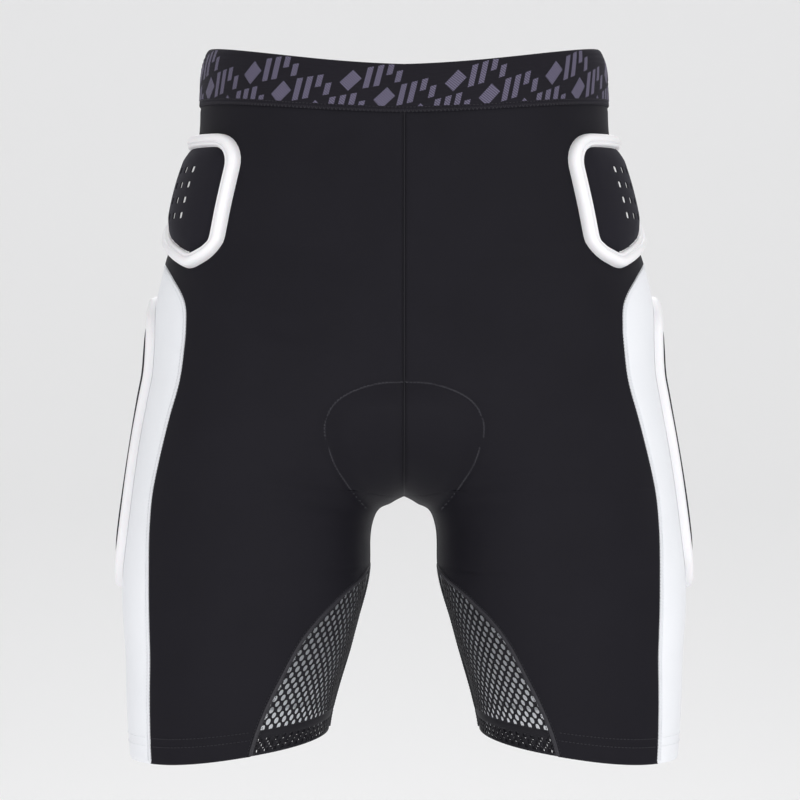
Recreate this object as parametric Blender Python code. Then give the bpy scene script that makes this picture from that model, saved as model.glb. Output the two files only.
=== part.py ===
"""Padded impact shorts: stretch panels on a worn body form, sewn pads, a chamois, mesh inner legs and a waistband.

Metres, +Z up, the wearer faces -Y, so the wearer's left is +X. The origin ends up at the bottom centre of the
whole garment's box. Every piece is laid out on the worn form by an angle around the left leg's axis and a height
above the hem, and the pieces of the right half are mirror images.
"""

import math

import bmesh
import bpy
import numpy as np
from mathutils.geometry import delaunay_2d_cdt

# ---------------------------------------------------------------- garment size
INSEAM = 0.195  # hem to crotch
RISE = 0.318  # crotch to the top of the waistband at the side
SIDE_LENGTH = INSEAM + RISE
GIRTH = 1.0  # grading of every distance across the body
FRONT_DROP = 0.020  # how far the waist dips at the centre front
INNER_LIFT = 0.019  # how far the mesh hem rises at the inner leg
INNER_LIFT_REACH = 130.0  # degrees round the leg from the inner side to where the hem is level

# ---------------------------------------------------------------- cloth
FABRIC = 0.0012
MESH_CLOTH = 0.0010
BAND_WIDTH = 0.041
BAND_CLOTH = 0.0024
HEM_WIDTH = 0.018
SEAM_GAP = 0.0004  # between the cut edges of two panels
LAYER_GAP = 0.0004  # between a piece and what it lies on
FACET_ROOM = 0.0010 * GIRTH  # added where two pieces with different facets lie on each other
HEM_ROOM = 2.0 * FACET_ROOM  # between the turned-up hem and the panels in front of it
SEAM_ROOM = 0.75 * FACET_ROOM  # between a seam's thread and the panels that it lies on
HEM_FOOT = 0.0006  # the hem facing starts this far above the panels' edge
STITCH_WIDTH = 0.0032
STITCH_HEIGHT = 0.0007
TAPE_WIDTH = 0.0060
LABEL_WIDTH = 0.030
LABEL_HEIGHT = 0.034
LABEL_CLOTH = 0.0006
LABEL_TOP = 0.004  # from the waistband's top to the label
LABEL_ROOM = 0.0014  # between the label and the waistband it is sewn to

# ---------------------------------------------------------------- pads
RIM_WIDTH = 0.0100
FACE_SEAT = 0.62  # where the face sits, as a share of the rim's height
FACE_CLOTH = 0.0018
FACE_INSET = 0.0007  # between the face's edge and the rim
HOLE = 0.0040  # side of a square perforation
HIP_RIM_HEIGHT = 0.0075
HIP_CROWN = 0.0040
HIP_PITCH = (0.0125, 0.0110)
THIGH_RIM_HEIGHT = 0.0062
THIGH_CROWN = 0.0060
THIGH_PITCH = (0.0165, 0.0165)
TAIL_RIM_HEIGHT = 0.0070
TAIL_CROWN = 0.0035
TAIL_PITCH = (0.0150, 0.0150)
CHAMOIS_FOAM = 0.0060
CHAMOIS_COVER = 0.0010

# ---------------------------------------------------------------- mesh fineness
PANEL_STEP = 0.032  # about the side of a facet
PAD_STEP = 0.019
CORNER_STEPS = 3
SLOPE_STEP = 0.001  # over which a seam's slope is read
STEEPEST = 8.0  # most that a sloping seam widens its cut
NORMAL_STEP = 0.0005  # over which the form's direction is read
END_FADE = 0.03  # near the hem and the waist, offsets turn level over this height
LAYOUT_REACH = 0.16  # how far up and down a flat layout is wrapped

# ---------------------------------------------------------------- where the seam threads stop
SEAM_START = 0.002  # above the hem
FRONT_TIP_CLEAR = 0.016  # below the white panel's tip, in front
REAR_TIP_CLEAR = 0.010  # and behind
YOKE_CLEAR = 0.012  # above the seat panel's lower corner
MESH_TIP_CLEAR = 0.013  # below the mesh panel's tip
CROTCH_CLEAR = 0.004  # above the crotch point
BAND_CLEAR = 0.002  # below the waistband


def leg(share):
    """A height between the hem, 0, and the crotch, 1."""
    return share * INSEAM


def torso(share):
    """A height between the crotch, 0, and the waistband's top, 1."""
    return INSEAM + share * RISE


def profile(points, scale=1.0):
    """A smooth curve through (height, size) points, level beyond its ends."""
    at, size = np.array(points, float).T
    size = size * scale
    slope = np.diff(size) / np.diff(at)
    tangent = np.concatenate([[slope[0]], (slope[1:] + slope[:-1]) / 2, [slope[-1]]])

    def value(height):
        height = np.clip(height, at[0], at[-1])
        i = np.clip(np.searchsorted(at, height) - 1, 0, len(at) - 2)
        width = at[i + 1] - at[i]
        t = (height - at[i]) / width
        return (
            (1 + 2 * t) * (1 - t) ** 2 * size[i]
            + t * (1 - t) ** 2 * width * tangent[i]
            + t * t * (3 - 2 * t) * size[i + 1]
            + t * t * (t - 1) * width * tangent[i + 1]
        )

    return value


# ---------------------------------------------------------------- the body form
# Distances from the centre plane, or from the plane through both legs' middles, by height.
OUTER = profile(
    [
        (leg(0.000), 0.1980),
        (leg(0.205), 0.2010),
        (leg(0.395), 0.2020),
        (leg(0.579), 0.2035),
        (leg(0.728), 0.2025),
        (leg(1.000), 0.1965),
        (torso(0.156), 0.1880),
        (torso(0.316), 0.1770),
        (torso(0.450), 0.1600),
        (torso(0.609), 0.1350),
        (torso(0.797), 0.1100),
    ],
    GIRTH,
)
LEG_INNER = profile(
    [
        (leg(0.000), 0.0560),
        (leg(0.103), 0.0550),
        (leg(0.205), 0.0510),
        (leg(0.431), 0.0380),
        (leg(0.672), 0.0270),
        (leg(0.882), 0.0265),
        (leg(1.000), 0.0265),
        (torso(0.156), 0.0180),
        (torso(0.453), 0.0000),
    ],
    GIRTH,
)
LEG_FRONT = profile(
    [
        (leg(0.000), 0.0730),
        (leg(0.462), 0.0810),
        (leg(1.000), 0.0940),
        (torso(0.297), 0.0980),
        (torso(0.547), 0.0700),
    ],
    GIRTH,
)
LEG_BACK = profile(
    [
        (leg(0.000), 0.0730),
        (leg(0.462), 0.0840),
        (leg(1.000), 0.1000),
        (torso(0.297), 0.1100),
        (torso(0.547), 0.0750),
    ],
    GIRTH,
)
TORSO_HALF = profile(
    [
        (leg(1.000), 0.0880),
        (torso(0.156), 0.1120),
        (torso(0.316), 0.1550),
        (torso(0.406), 0.1700),
        (torso(0.509), 0.1695),
        (torso(0.553), 0.1665),
        (torso(0.622), 0.1620),
        (torso(0.691), 0.1565),
        (torso(0.759), 0.1510),
        (torso(0.816), 0.1480),
        (torso(0.897), 0.1470),
        (torso(0.966), 0.1450),
        (torso(1.000), 0.1405),
    ],
    GIRTH,
)
TORSO_FRONT = profile(
    [
        (leg(1.000), 0.0980),
        (torso(0.297), 0.1040),
        (torso(0.594), 0.1060),
        (torso(0.797), 0.1020),
        (torso(1.000), 0.0980),
    ],
    GIRTH,
)
TORSO_BACK = profile(
    [
        (leg(1.000), 0.1040),
        (torso(0.297), 0.1240),
        (torso(0.500), 0.1250),
        (torso(0.750), 0.1120),
        (torso(1.000), 0.1020),
    ],
    GIRTH,
)
LEG_SQUARE = 2.35  # superellipse exponents: 2 is an ellipse
TORSO_SQUARE = 2.2
SEAT_TOP = torso(0.222)  # where the pelvis starts to round under
SEAT_DEPTH = 0.066  # from there down to its lowest point
FOLD = profile([(leg(0.80), 0.075), (torso(0.15), 0.042)], GIRTH)  # how softly the legs run into the pelvis
FAR = 0.40 * GIRTH  # beyond the form in every direction
BISECTIONS = 36


def fold(a, b, z):
    """A rounded union of two fields."""
    reach = FOLD(z)
    near = np.maximum(reach - np.abs(a - b), 0) / reach
    return np.minimum(a, b) - near * near * reach / 4


def leg_field(x, y, z):
    """Below zero inside the left leg."""
    outer, inner, front, back = OUTER(z), LEG_INNER(z), LEG_FRONT(z), LEG_BACK(z)
    half, deep = (outer - inner) / 2, (front + back) / 2
    across = np.abs((x - (outer + inner) / 2) / half) ** LEG_SQUARE
    along = np.abs((y - (back - front) / 2) / deep) ** LEG_SQUARE
    return ((across + along) ** (1 / LEG_SQUARE) - 1) * half


def torso_field(x, y, z):
    """Below zero inside the pelvis and waist, which round off underneath."""
    half, front, back = TORSO_HALF(z), TORSO_FRONT(z), TORSO_BACK(z)
    deep = (front + back) / 2
    across = np.abs(x / half) ** TORSO_SQUARE
    along = np.abs((y - (back - front) / 2) / deep) ** TORSO_SQUARE
    under = (np.maximum(SEAT_TOP - z, 0) / SEAT_DEPTH) ** TORSO_SQUARE
    return ((across + along + under) ** (1 / TORSO_SQUARE) - 1) * deep


def body_field(x, y, z):
    """Below zero inside the worn garment's inner face."""
    legs = np.minimum(leg_field(x, y, z), leg_field(-x, y, z))
    return fold(legs, torso_field(x, y, z), z)


def crotch_height():
    """The height where the two legs' sections first meet on the centre plane."""
    y = np.linspace(-0.1, 0.1, 201) * GIRTH
    low, high = leg(0.5), torso(0.4)
    for _ in range(BISECTIONS):
        middle = (low + high) / 2
        if body_field(0 * y, y, middle).min() < 0:
            high = middle
        else:
            low = middle
    return high


CROTCH = crotch_height()
CROTCH_Y = float(min(np.linspace(-0.1, 0.1, 2001) * GIRTH, key=lambda y: body_field(0.0, y, CROTCH)))


def axis_point(z):
    """The point in the left leg from which its section's rays go out."""
    x = (OUTER(z) + LEG_INNER(z)) / 2
    return x, CROTCH_Y + 0 * x


def radius(angle, z):
    """Distance from the axis to the form along an angle: 0 inner, 90 front, 180 outer, 270 back."""
    angle, z = np.broadcast_arrays(np.asarray(angle, float), np.asarray(z, float))
    x0, y0 = axis_point(z)
    dx, dy = -np.cos(np.radians(angle)), -np.sin(np.radians(angle))
    low, high = np.zeros_like(z), np.minimum(FAR, x0 / np.maximum(-dx, x0 / FAR))
    for _ in range(BISECTIONS):
        middle = (low + high) / 2
        inside = body_field(x0 + middle * dx, y0 + middle * dy, z) < 0
        low, high = np.where(inside, middle, low), np.where(inside, high, middle)
    return (low + high) / 2


WAIST_FRONT_ANGLE = 54.0  # of the centre front, seen from the axis, at the waist


def level(angle, height):
    """Real height of a pattern height: the waist dips in front, and the mesh hem lifts at the inner leg."""
    angle = np.asarray(angle, float) % 360
    share = np.clip((180 - angle) / (180 - WAIST_FRONT_ANGLE), 0, 1)
    upper = np.clip((height - torso(0.5)) / (torso(1.0) - torso(0.5)), 0, 1) ** 1.5
    inner = np.clip(1 - np.minimum(angle, 360 - angle) / INNER_LIFT_REACH, 0, 1)
    lower = np.clip(1 - height / leg(0.62), 0, 1)
    return (
        height
        - FRONT_DROP * (0.5 - 0.5 * np.cos(np.pi * share)) * upper
        + INNER_LIFT * inner * inner * (3 - 2 * inner) * lower
    )


def surface(angle, height, offset=0.0):
    """Points of the left half at pattern angles and heights, moved outwards by offset."""
    angle, height = np.broadcast_arrays(np.asarray(angle, float), np.asarray(height, float))
    z = level(angle, height)
    x0, y0 = axis_point(z)
    r = radius(angle, z)
    x = x0 - r * np.cos(np.radians(angle))
    y = y0 - r * np.sin(np.radians(angle))
    step = NORMAL_STEP
    normal = np.stack(
        [
            body_field(x + step, y, z) - body_field(x - step, y, z),
            body_field(x, y + step, z) - body_field(x, y - step, z),
            body_field(x, y, z + step) - body_field(x, y, z - step),
        ],
        axis=-1,
    )
    normal /= np.linalg.norm(normal, axis=-1, keepdims=True)
    normal[..., 2] *= np.clip(height / END_FADE, 0, 1) * np.clip((SIDE_LENGTH - height) / END_FADE, 0, 1)
    return np.stack([x, y, z], axis=-1) + normal * np.asarray(offset)[..., None]


def centre_table():
    """Centre front and centre back angles, over the square root of the height share above the crotch."""
    root = np.linspace(0, 1, 161)
    heights = CROTCH + (SIDE_LENGTH - CROTCH) * root * root
    turns = []
    for sign, guess in ((-1, 60.0), (1, 300.0)):
        z = level(guess, heights)
        low, high = np.zeros_like(z), np.full_like(z, FAR)
        for _ in range(BISECTIONS):
            middle = (low + high) / 2
            inside = body_field(0 * z, CROTCH_Y + sign * middle, z) < 0
            low, high = np.where(inside, middle, low), np.where(inside, high, middle)
        turns.append(np.degrees(np.arctan2(low, axis_point(z)[0])))
    return root, turns[0], 360 - turns[1]


CENTRE_TABLE = centre_table()


def centre_angles(height):
    """Angles of the centre front and the centre back at a pattern height; 0 and 360 below the crotch."""
    share = (np.asarray(height, float) - CROTCH) / (SIDE_LENGTH - CROTCH)
    root, front, back = CENTRE_TABLE
    at = np.sqrt(np.clip(share, 0, 1))
    return (
        np.where(share > 0, np.interp(at, root, front), 0.0),
        np.where(share > 0, np.interp(at, root, back), 360.0),
    )


# ---------------------------------------------------------------- seam lines, as angle by height
SIDE_TIP = torso(0.515)  # top of the white side panel
MESH_TIP = leg(0.71)  # top of the mesh panel, on the inseam
MESH_TOP = MESH_TIP - 0.0015  # where the mesh cloth itself ends
SIDE_TOP = SIDE_TIP - 0.0030  # where the white cloth itself ends
YOKE_FOOT = leg(0.86)  # where the seat panel's lower edge meets the inseam
YOKE_START = YOKE_FOOT + 0.0025  # where the seat panel's cloth itself starts
MESH_REAR_TURN = 13.0  # how far behind the leg's inner side the mesh ends
MESH_FRONT = profile(
    [
        (leg(0.01), 76.1),
        (leg(0.15), 70.6),
        (leg(0.28), 65.1),
        (leg(0.43), 58.2),
        (leg(0.50), 53.0),
        (leg(0.57), 45.7),
        (leg(0.64), 34.5),
        (leg(0.68), 20.0),
        (MESH_TIP, 4.0),
    ]
)
SIDE_FRONT = profile(
    [
        (leg(0.00), 133.0),
        (leg(0.14), 132.6),
        (leg(0.36), 133.4),
        (leg(0.73), 135.5),
        (leg(0.95), 134.7),
        (torso(0.084), 131.8),
        (torso(0.164), 129.7),
        (torso(0.236), 127.6),
        (torso(0.309), 128.5),
        (torso(0.367), 131.2),
        (torso(0.418), 136.5),
        (torso(0.456), 146.4),
        (torso(0.491), 160.9),
        (SIDE_TIP, 180.0),
    ]
)
SIDE_REAR = profile(
    [
        (YOKE_FOOT, 360.0),
        (leg(0.93), 331.0),
        (leg(1.03), 300.0),
        (torso(0.08), 272.0),
        (torso(0.18), 247.0),
        (torso(0.30), 231.0),
        (torso(0.41), 220.0),
        (torso(0.47), 205.0),
        (SIDE_TIP, 180.0),
    ]
)


def mesh_rear(height):
    """The inseam: the mesh meets the white cloth a little behind the leg's inner side."""
    return 360 - MESH_REAR_TURN * np.clip((MESH_TIP - height) / leg(0.2), 0, 1) ** 0.5


# ---------------------------------------------------------------- mesh helpers
def material(name, colour, roughness):
    """A plain Principled material."""
    made = bpy.data.materials.new(name)
    made.use_nodes = True
    shader = made.node_tree.nodes["Principled BSDF"]
    shader.inputs["Base Color"].default_value = (*colour, 1)
    shader.inputs["Roughness"].default_value = roughness
    shader.inputs["Metallic"].default_value = 0.0
    made.diffuse_color = (*colour, 1)
    return made


def add_object(name, points, faces, finish):
    """One named node from points and faces, shaded smooth except at its edges."""
    mesh = bpy.data.meshes.new(name)
    mesh.from_pydata([tuple(map(float, p)) for p in points], [], [tuple(map(int, f)) for f in faces])
    work = bmesh.new()
    work.from_mesh(mesh)
    bmesh.ops.recalc_face_normals(work, faces=work.faces)
    if work.calc_volume(signed=True) < 0:
        bmesh.ops.reverse_faces(work, faces=work.faces)
    work.to_mesh(mesh)
    work.free()
    mesh.shade_smooth()
    mesh.set_sharp_from_angle(angle=math.radians(50))
    mesh.materials.append(finish)
    made = bpy.data.objects.new(name, mesh)
    bpy.context.scene.collection.objects.link(made)
    return made


def add_pair(name, points, faces, finish):
    """The left piece and its mirror image on the right."""
    points = np.array(points, float)
    add_object(f"{name}_left", points, faces, finish)
    add_object(f"{name}_right", points * [-1, 1, 1], faces, finish)


def sheet_solid(inside, outside, ring=False):
    """Points and faces of the solid between two equal grids of points; ring joins each row's ends."""
    rows, columns = inside.shape[:2]
    points = np.concatenate([inside.reshape(-1, 3), outside.reshape(-1, 3)])
    half = rows * columns
    wraps = columns if ring else columns - 1

    def index(row, column):
        return row * columns + column % columns

    faces = []
    for row in range(rows - 1):
        for column in range(wraps):
            a, b = index(row, column), index(row, column + 1)
            c, d = index(row + 1, column + 1), index(row + 1, column)
            faces += [[a, b, c], [a, c, d], [half + a, half + c, half + b], [half + a, half + d, half + c]]
    for column in range(wraps):
        for row in (0, rows - 1):
            a, b = index(row, column), index(row, column + 1)
            faces.append([a, half + a, half + b, b] if row == 0 else [b, half + b, half + a, a])
    if not ring:
        for row in range(rows - 1):
            for column in (0, columns - 1):
                a, b = index(row, column), index(row + 1, column)
                faces.append([b, half + b, half + a, a] if column == 0 else [a, half + a, half + b, b])
    return points, faces


def shared_rows():
    """Heights of every panel's rows: closer where the crotch rounds under, and one at every seam's corner."""
    below = CROTCH - PANEL_STEP * np.array([0.12, 0.4])
    above = CROTCH + PANEL_STEP * np.array([0.02, 0.1, 0.25, 0.5, 0.9])
    mesh_corners = [MESH_TIP - 0.013, MESH_TIP - 0.005, MESH_TOP, MESH_TIP]
    corners = [0.0, *mesh_corners, YOKE_FOOT, YOKE_START, YOKE_FOOT + 0.010, SIDE_TIP - 0.012, SIDE_TOP, SIDE_TIP]
    fixed = sorted([*below, *above, *corners, SIDE_LENGTH])
    rows = []
    for first, last in zip(fixed, fixed[1:]):
        rows += list(np.linspace(first, last, max(1, round((last - first) / PANEL_STEP)) + 1)[:-1])
    return rows


def row_heights(low, high):
    """The shared rows between two heights, and the heights themselves."""
    return [low, *[float(h) for h in shared_rows() if low + 0.001 < h < high - 0.001], high]


def seam_trim(edge, height, low, high):
    """The angle to cut back from a seam line so that half the seam's gap is left square to it."""
    reach = float(radius(edge(height), level(edge(height), height)))
    below, above = max(height - SLOPE_STEP, low), min(height + SLOPE_STEP, high)
    slope = math.radians(edge(above) - edge(below)) / (above - below) * reach
    return math.degrees(SEAM_GAP / 2 * min(math.hypot(1, slope), STEEPEST) / reach)


def panel(name, low, high, start, end, columns, cloth, finish):
    """A pair of cloth panels between two seam lines, from one pattern height to another."""
    heights = row_heights(low, high)
    inside, outside = [], []
    for height in heights:
        first = start(height) + seam_trim(start, height, low, high)
        last = end(height) - seam_trim(end, height, low, high)
        angles = np.linspace(first, last, columns + 1)
        inside.append(surface(angles, height, 0.0))
        outside.append(surface(angles, height, cloth))
    add_pair(name, *sheet_solid(np.array(inside), np.array(outside)), finish)


# ---------------------------------------------------------------- flat layouts on the form
class Layout:
    """Wraps flat (across, up) positions onto the form, around a point at an angle and height.

    Across is an arc length round the body, towards the front; the rear layout is centred on the back seam.
    """

    def __init__(self, angle, height, rear=False):
        self.angle, self.height, self.rear = angle, height, rear
        low, high = max(height - LAYOUT_REACH, 0), min(height + LAYOUT_REACH, SIDE_LENGTH)
        self.heights = np.linspace(low, high, 41)
        self.tables = [self.table(h) for h in self.heights]

    def table(self, height):
        """(arc length, angle) along a section, measured from the layout's centre."""
        front, back = centre_angles(height)
        angles = np.linspace(front, back, 181)
        points = surface(angles, height)
        arc = np.concatenate([[0], np.cumsum(np.linalg.norm(np.diff(points, axis=0), axis=1))])
        zero = arc[-1] if self.rear else np.interp(self.angle, angles, arc)
        return (zero - arc)[::-1], angles[::-1]

    def points(self, flat, offset):
        """Points on the form for flat (across, up) positions, with an outward offset for each."""
        flat = np.asarray(flat, float)
        across, up = flat.T
        side = np.abs(across) if self.rear else across
        heights = self.height + up
        i = np.clip(np.searchsorted(self.heights, heights) - 1, 0, len(self.heights) - 2)
        share = (heights - self.heights[i]) / (self.heights[i + 1] - self.heights[i])
        low = np.array([np.interp(s, *self.tables[k]) for s, k in zip(side, i)])
        high = np.array([np.interp(s, *self.tables[k + 1]) for s, k in zip(side, i)])
        made = surface(low + (high - low) * share, heights, np.broadcast_to(offset, len(flat)))
        if self.rear:
            made[across < 0, 0] *= -1
            made[np.abs(across) < 1e-9, 0] = 0.0
        return made


def rounded(corners):
    """A closed outline through straight edges with arcs: each corner is (across, up, radius)."""
    outline = []
    count = len(corners)
    for i, (x, y, r) in enumerate(corners):
        here = np.array([x, y])
        before = np.array(corners[i - 1][:2]) - here
        after = np.array(corners[(i + 1) % count][:2]) - here
        before, after = before / np.linalg.norm(before), after / np.linalg.norm(after)
        half = math.acos(float(np.clip(before @ after, -1, 1))) / 2
        centre = here + (before + after) / np.linalg.norm(before + after) * r / math.sin(half)
        first = here + before * r / math.tan(half) - centre
        last = here + after * r / math.tan(half) - centre
        a0, a1 = math.atan2(first[1], first[0]), math.atan2(last[1], last[0])
        turn = (a1 - a0 + math.pi) % (2 * math.pi) - math.pi
        for t in np.linspace(0, 1, CORNER_STEPS + 1):
            outline.append(centre + r * np.array([math.cos(a0 + turn * t), math.sin(a0 + turn * t)]))
    return densified(np.array(outline))


def densified(outline):
    """The outline with points added so that no edge is longer than a pad's facet."""
    made = []
    for a, b in zip(outline, np.roll(outline, -1, axis=0)):
        parts = max(1, math.ceil(np.linalg.norm(b - a) / (PAD_STEP * 1.25)))
        made += [a + (b - a) * k / parts for k in range(parts)]
    return np.array(made)


def inset(outline, distance):
    """The outline moved inwards; it runs anticlockwise."""
    ahead = np.roll(outline, -1, axis=0) - outline
    behind = outline - np.roll(outline, 1, axis=0)
    ahead /= np.linalg.norm(ahead, axis=1, keepdims=True)
    behind /= np.linalg.norm(behind, axis=1, keepdims=True)
    normal = ahead + behind
    normal = np.stack([-normal[:, 1], normal[:, 0]], axis=1)
    normal /= np.linalg.norm(normal, axis=1, keepdims=True)
    stretch = np.sqrt(np.maximum((1 + (ahead * behind).sum(axis=1)) / 2, 0.25))
    return outline + normal * (distance / stretch)[:, None]


def inside_outline(point, outline):
    """True if a flat point is inside a closed outline."""
    x, y = point
    a, b = outline, np.roll(outline, -1, axis=0)
    crosses = (a[:, 1] > y) != (b[:, 1] > y)
    with np.errstate(divide="ignore", invalid="ignore"):
        at = (b[:, 0] - a[:, 0]) * (y - a[:, 1]) / (b[:, 1] - a[:, 1]) + a[:, 0]
    return bool((crosses & (x < at)).sum() % 2)


def clearance(point, outline):
    """Distance from a flat point to an outline's edges."""
    a, b = outline, np.roll(outline, -1, axis=0)
    along = b - a
    t = np.clip(((point - a) * along).sum(axis=1) / (along * along).sum(axis=1), 0, 1)
    return float(np.linalg.norm(a + along * t[:, None] - point, axis=1).min())


def plate(layout, outline, holes, low, high):
    """Points and faces of a plate on a layout: low and high give the offsets of its two faces at flat points."""
    flat = [tuple(p) for p in outline]
    edges = [(i, (i + 1) % len(outline)) for i in range(len(outline))]
    for hole in holes:
        first = len(flat)
        flat += [tuple(p) for p in hole]
        edges += [(first + i, first + (i + 1) % len(hole)) for i in range(len(hole))]
    lowest, highest = outline.min(axis=0), outline.max(axis=0)
    for across in np.arange(lowest[0] + PAD_STEP / 2, highest[0], PAD_STEP):
        for up in np.arange(lowest[1] + PAD_STEP / 2, highest[1], PAD_STEP):
            spot = np.array([across, up])
            clear = inside_outline(spot, outline) and clearance(spot, outline) > PAD_STEP / 2
            if not clear or any(inside_outline(spot, hole) for hole in holes):
                continue
            if all(clearance(spot, hole) > HOLE / 2 for hole in holes):
                flat.append((across, up))
    spots, _, triangles, *_ = delaunay_2d_cdt(flat, edges, [], 0, 1e-7)
    spots = np.array([tuple(v) for v in spots])
    kept = []
    for triangle in triangles:
        middle = spots[list(triangle)].mean(axis=0)
        if inside_outline(middle, outline) and not any(inside_outline(middle, hole) for hole in holes):
            kept.append(list(triangle))
    count = len(spots)
    faces = kept + [[count + i for i in reversed(t)] for t in kept]
    used = {}
    for triangle in kept:
        for i in range(3):
            a, b = triangle[i], triangle[(i + 1) % 3]
            used[(a, b)] = used.get((b, a)) is None
            if (b, a) in used:
                used[(b, a)] = used[(a, b)] = False
    faces += [[b, a, count + a, count + b] for (a, b), edge in used.items() if edge]
    points = np.concatenate([layout.points(spots, low(spots)), layout.points(spots, high(spots))])
    return points, faces


def crown(outline, rise):
    """How far a domed pad stands above its edge at flat points: rise in the middle, nothing at the outline."""
    middles = (outline.mean(axis=0), (outline.min(axis=0) + outline.max(axis=0)) / 2)
    reach = max(clearance(middle, outline) for middle in middles)

    def height(spots):
        share = np.array([clearance(p, outline) / reach if inside_outline(p, outline) else 0.0 for p in spots])
        return rise * (1 - (1 - np.clip(share, 0, 1)) ** 2)

    return height


def rim_solid(layout, outline, width, height, base):
    """A moulded frame swept round an outline, its section a low rounded step: points and faces."""
    section = [  # (share of the width inwards, share of the height)
        (0.0, 0.0),
        (0.05, 0.70),
        (0.35, 1.0),
        (1.0, 0.80),
        (1.0, 0.0),
    ]
    loops = [layout.points(inset(outline, width * across), base + height * up) for across, up in section]
    count, around = len(outline), len(section)
    points = np.concatenate(loops)
    faces = []
    for k in range(around):
        for i in range(count):
            j, m = (i + 1) % count, (k + 1) % around
            faces.append([k * count + i, k * count + j, m * count + j, m * count + i])
    return points, faces


def hole_grid(columns, rows, pitch, centre, outline):
    """Square holes on a grid, those that keep clear of an outline."""
    holes = []
    for i in range(columns):
        for j in range(rows):
            across = centre[0] + (i - (columns - 1) / 2) * pitch[0]
            up = centre[1] + (j - (rows - 1) / 2) * pitch[1]
            if clearance(np.array([across, up]), outline) < HOLE * 1.6:
                continue
            if not inside_outline((across, up), outline):
                continue
            square = np.array([(-1, -1), (1, -1), (1, 1), (-1, 1)]) * HOLE / 2
            holes.append(square + [across, up])
    return holes


def add_pad(name, layout, corners, rim_height, rise, pitch, grid, finishes, paired=True):
    """A pad's rim, foam core and perforated face; a single pad lies over the centre seam's thread."""
    add = add_pair if paired else add_object
    outline = rounded(corners)
    base = FABRIC + LAYER_GAP + FACET_ROOM + (0 if paired else STITCH_HEIGHT + LAYER_GAP)
    add(f"{name}_rim", *rim_solid(layout, outline, RIM_WIDTH, rim_height, base), finishes["rim"])
    inner = inset(outline, RIM_WIDTH + FACE_INSET)
    dome = crown(inner, rise)
    seat = base + rim_height * FACE_SEAT
    foam_top = seat - FACE_CLOTH * 0.5 - LAYER_GAP
    under = foam_top + LAYER_GAP + FACET_ROOM * 0.3
    foam = plate(layout, inner, [], lambda s: base + 0 * s[:, 0], lambda s: foam_top + dome(s))
    add(f"{name}_foam", *foam, finishes["foam"])
    holes = hole_grid(grid[0], grid[1], pitch, grid[2], inner)
    face = plate(
        layout,
        inner,
        holes,
        lambda s: under + dome(s),
        lambda s: under + FACE_CLOTH + dome(s),
    )
    add(f"{name}_face", *face, finishes["face"])


# ---------------------------------------------------------------- pieces
def build_panels(finishes):
    """The body panels: front, seat, white side and thigh wrap, and inner-leg mesh."""
    band_foot = SIDE_LENGTH - BAND_WIDTH - SEAM_GAP

    def front_start(height):
        return MESH_FRONT(height) if height < MESH_TIP else centre_angles(height)[0]

    def front_end(height):
        return SIDE_FRONT(height) if height < SIDE_TIP else 180.0

    def side_end(height):
        if height < MESH_TIP:
            return mesh_rear(height)
        return SIDE_REAR(height) if height > YOKE_FOOT else 360.0

    def rear_start(height):
        return SIDE_REAR(height) if height < SIDE_TIP else 180.0

    def rear_end(height):
        return centre_angles(height)[1]

    panel("front_panel", 0.0, band_foot, front_start, front_end, 10, FABRIC, finishes["black"])
    panel("side_panel", 0.0, SIDE_TOP, SIDE_FRONT, side_end, 10, FABRIC, finishes["white"])
    panel("rear_panel", YOKE_START, band_foot, rear_start, rear_end, 10, FABRIC, finishes["black"])
    panel(
        "inner_leg_mesh",
        0.0,
        MESH_TOP,
        lambda h: mesh_rear(h) - 360,
        MESH_FRONT,
        6,
        MESH_CLOTH,
        finishes["mesh"],
    )


def build_waistband(finishes):
    """One elastic loop round the top."""
    half = 20
    rows = []
    for share in (0.0, 0.5, 1.0):
        height = SIDE_LENGTH - BAND_WIDTH * (1 - share)
        front, back = centre_angles(height)
        angles = np.linspace(front, back, half + 1)
        loops = []
        for offset in (0.0, BAND_CLOTH):
            left = surface(angles, height, offset)
            left[[0, -1], 0] = 0.0
            right = left[-2:0:-1] * [-1, 1, 1]
            loops.append(np.concatenate([left, right]))
        rows.append(loops)
    inside = np.array([r[0] for r in rows])
    outside = np.array([r[1] for r in rows])
    add_object("waistband", *sheet_solid(inside, outside, ring=True), finishes["band"])


def build_hems(finishes):
    """The turned-up hem inside each leg, in two parts: behind the cloth panels and behind the mesh."""
    outer = -LAYER_GAP - HEM_ROOM
    for name, start, end, columns, cloth, finish in (
        ("hem_facing", lambda h: MESH_FRONT(0.0) + 1, lambda h: mesh_rear(0.0) - 1, 20, FABRIC, "black"),
        ("mesh_hem", lambda h: mesh_rear(0.0) - 359, lambda h: MESH_FRONT(0.0) - 1, 8, MESH_CLOTH, "mesh"),
    ):
        inside, outside = [], []
        for height in (HEM_FOOT, HEM_WIDTH / 2, HEM_WIDTH):
            angles = np.linspace(start(height), end(height), columns + 1)
            inside.append(surface(angles, height, outer - cloth))
            outside.append(surface(angles, height, outer))
        add_pair(name, *sheet_solid(np.array(inside), np.array(outside)), finishes[finish])


def ribbon(path_angles, path_heights, base, width=STITCH_WIDTH, thick=STITCH_HEIGHT):
    """Points and faces of a flat thread ribbon along a pattern path on the left half."""
    centre = surface(path_angles, path_heights, base)
    above = surface(path_angles, path_heights, base + thick)
    along = np.gradient(centre, axis=0)
    side = np.cross(along, above - centre)
    side *= width / 2 / np.linalg.norm(side, axis=1, keepdims=True)
    inside = np.stack([centre - side, centre + side], axis=1)
    outside = np.stack([above - side, above + side], axis=1)
    return sheet_solid(inside, outside)


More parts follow.
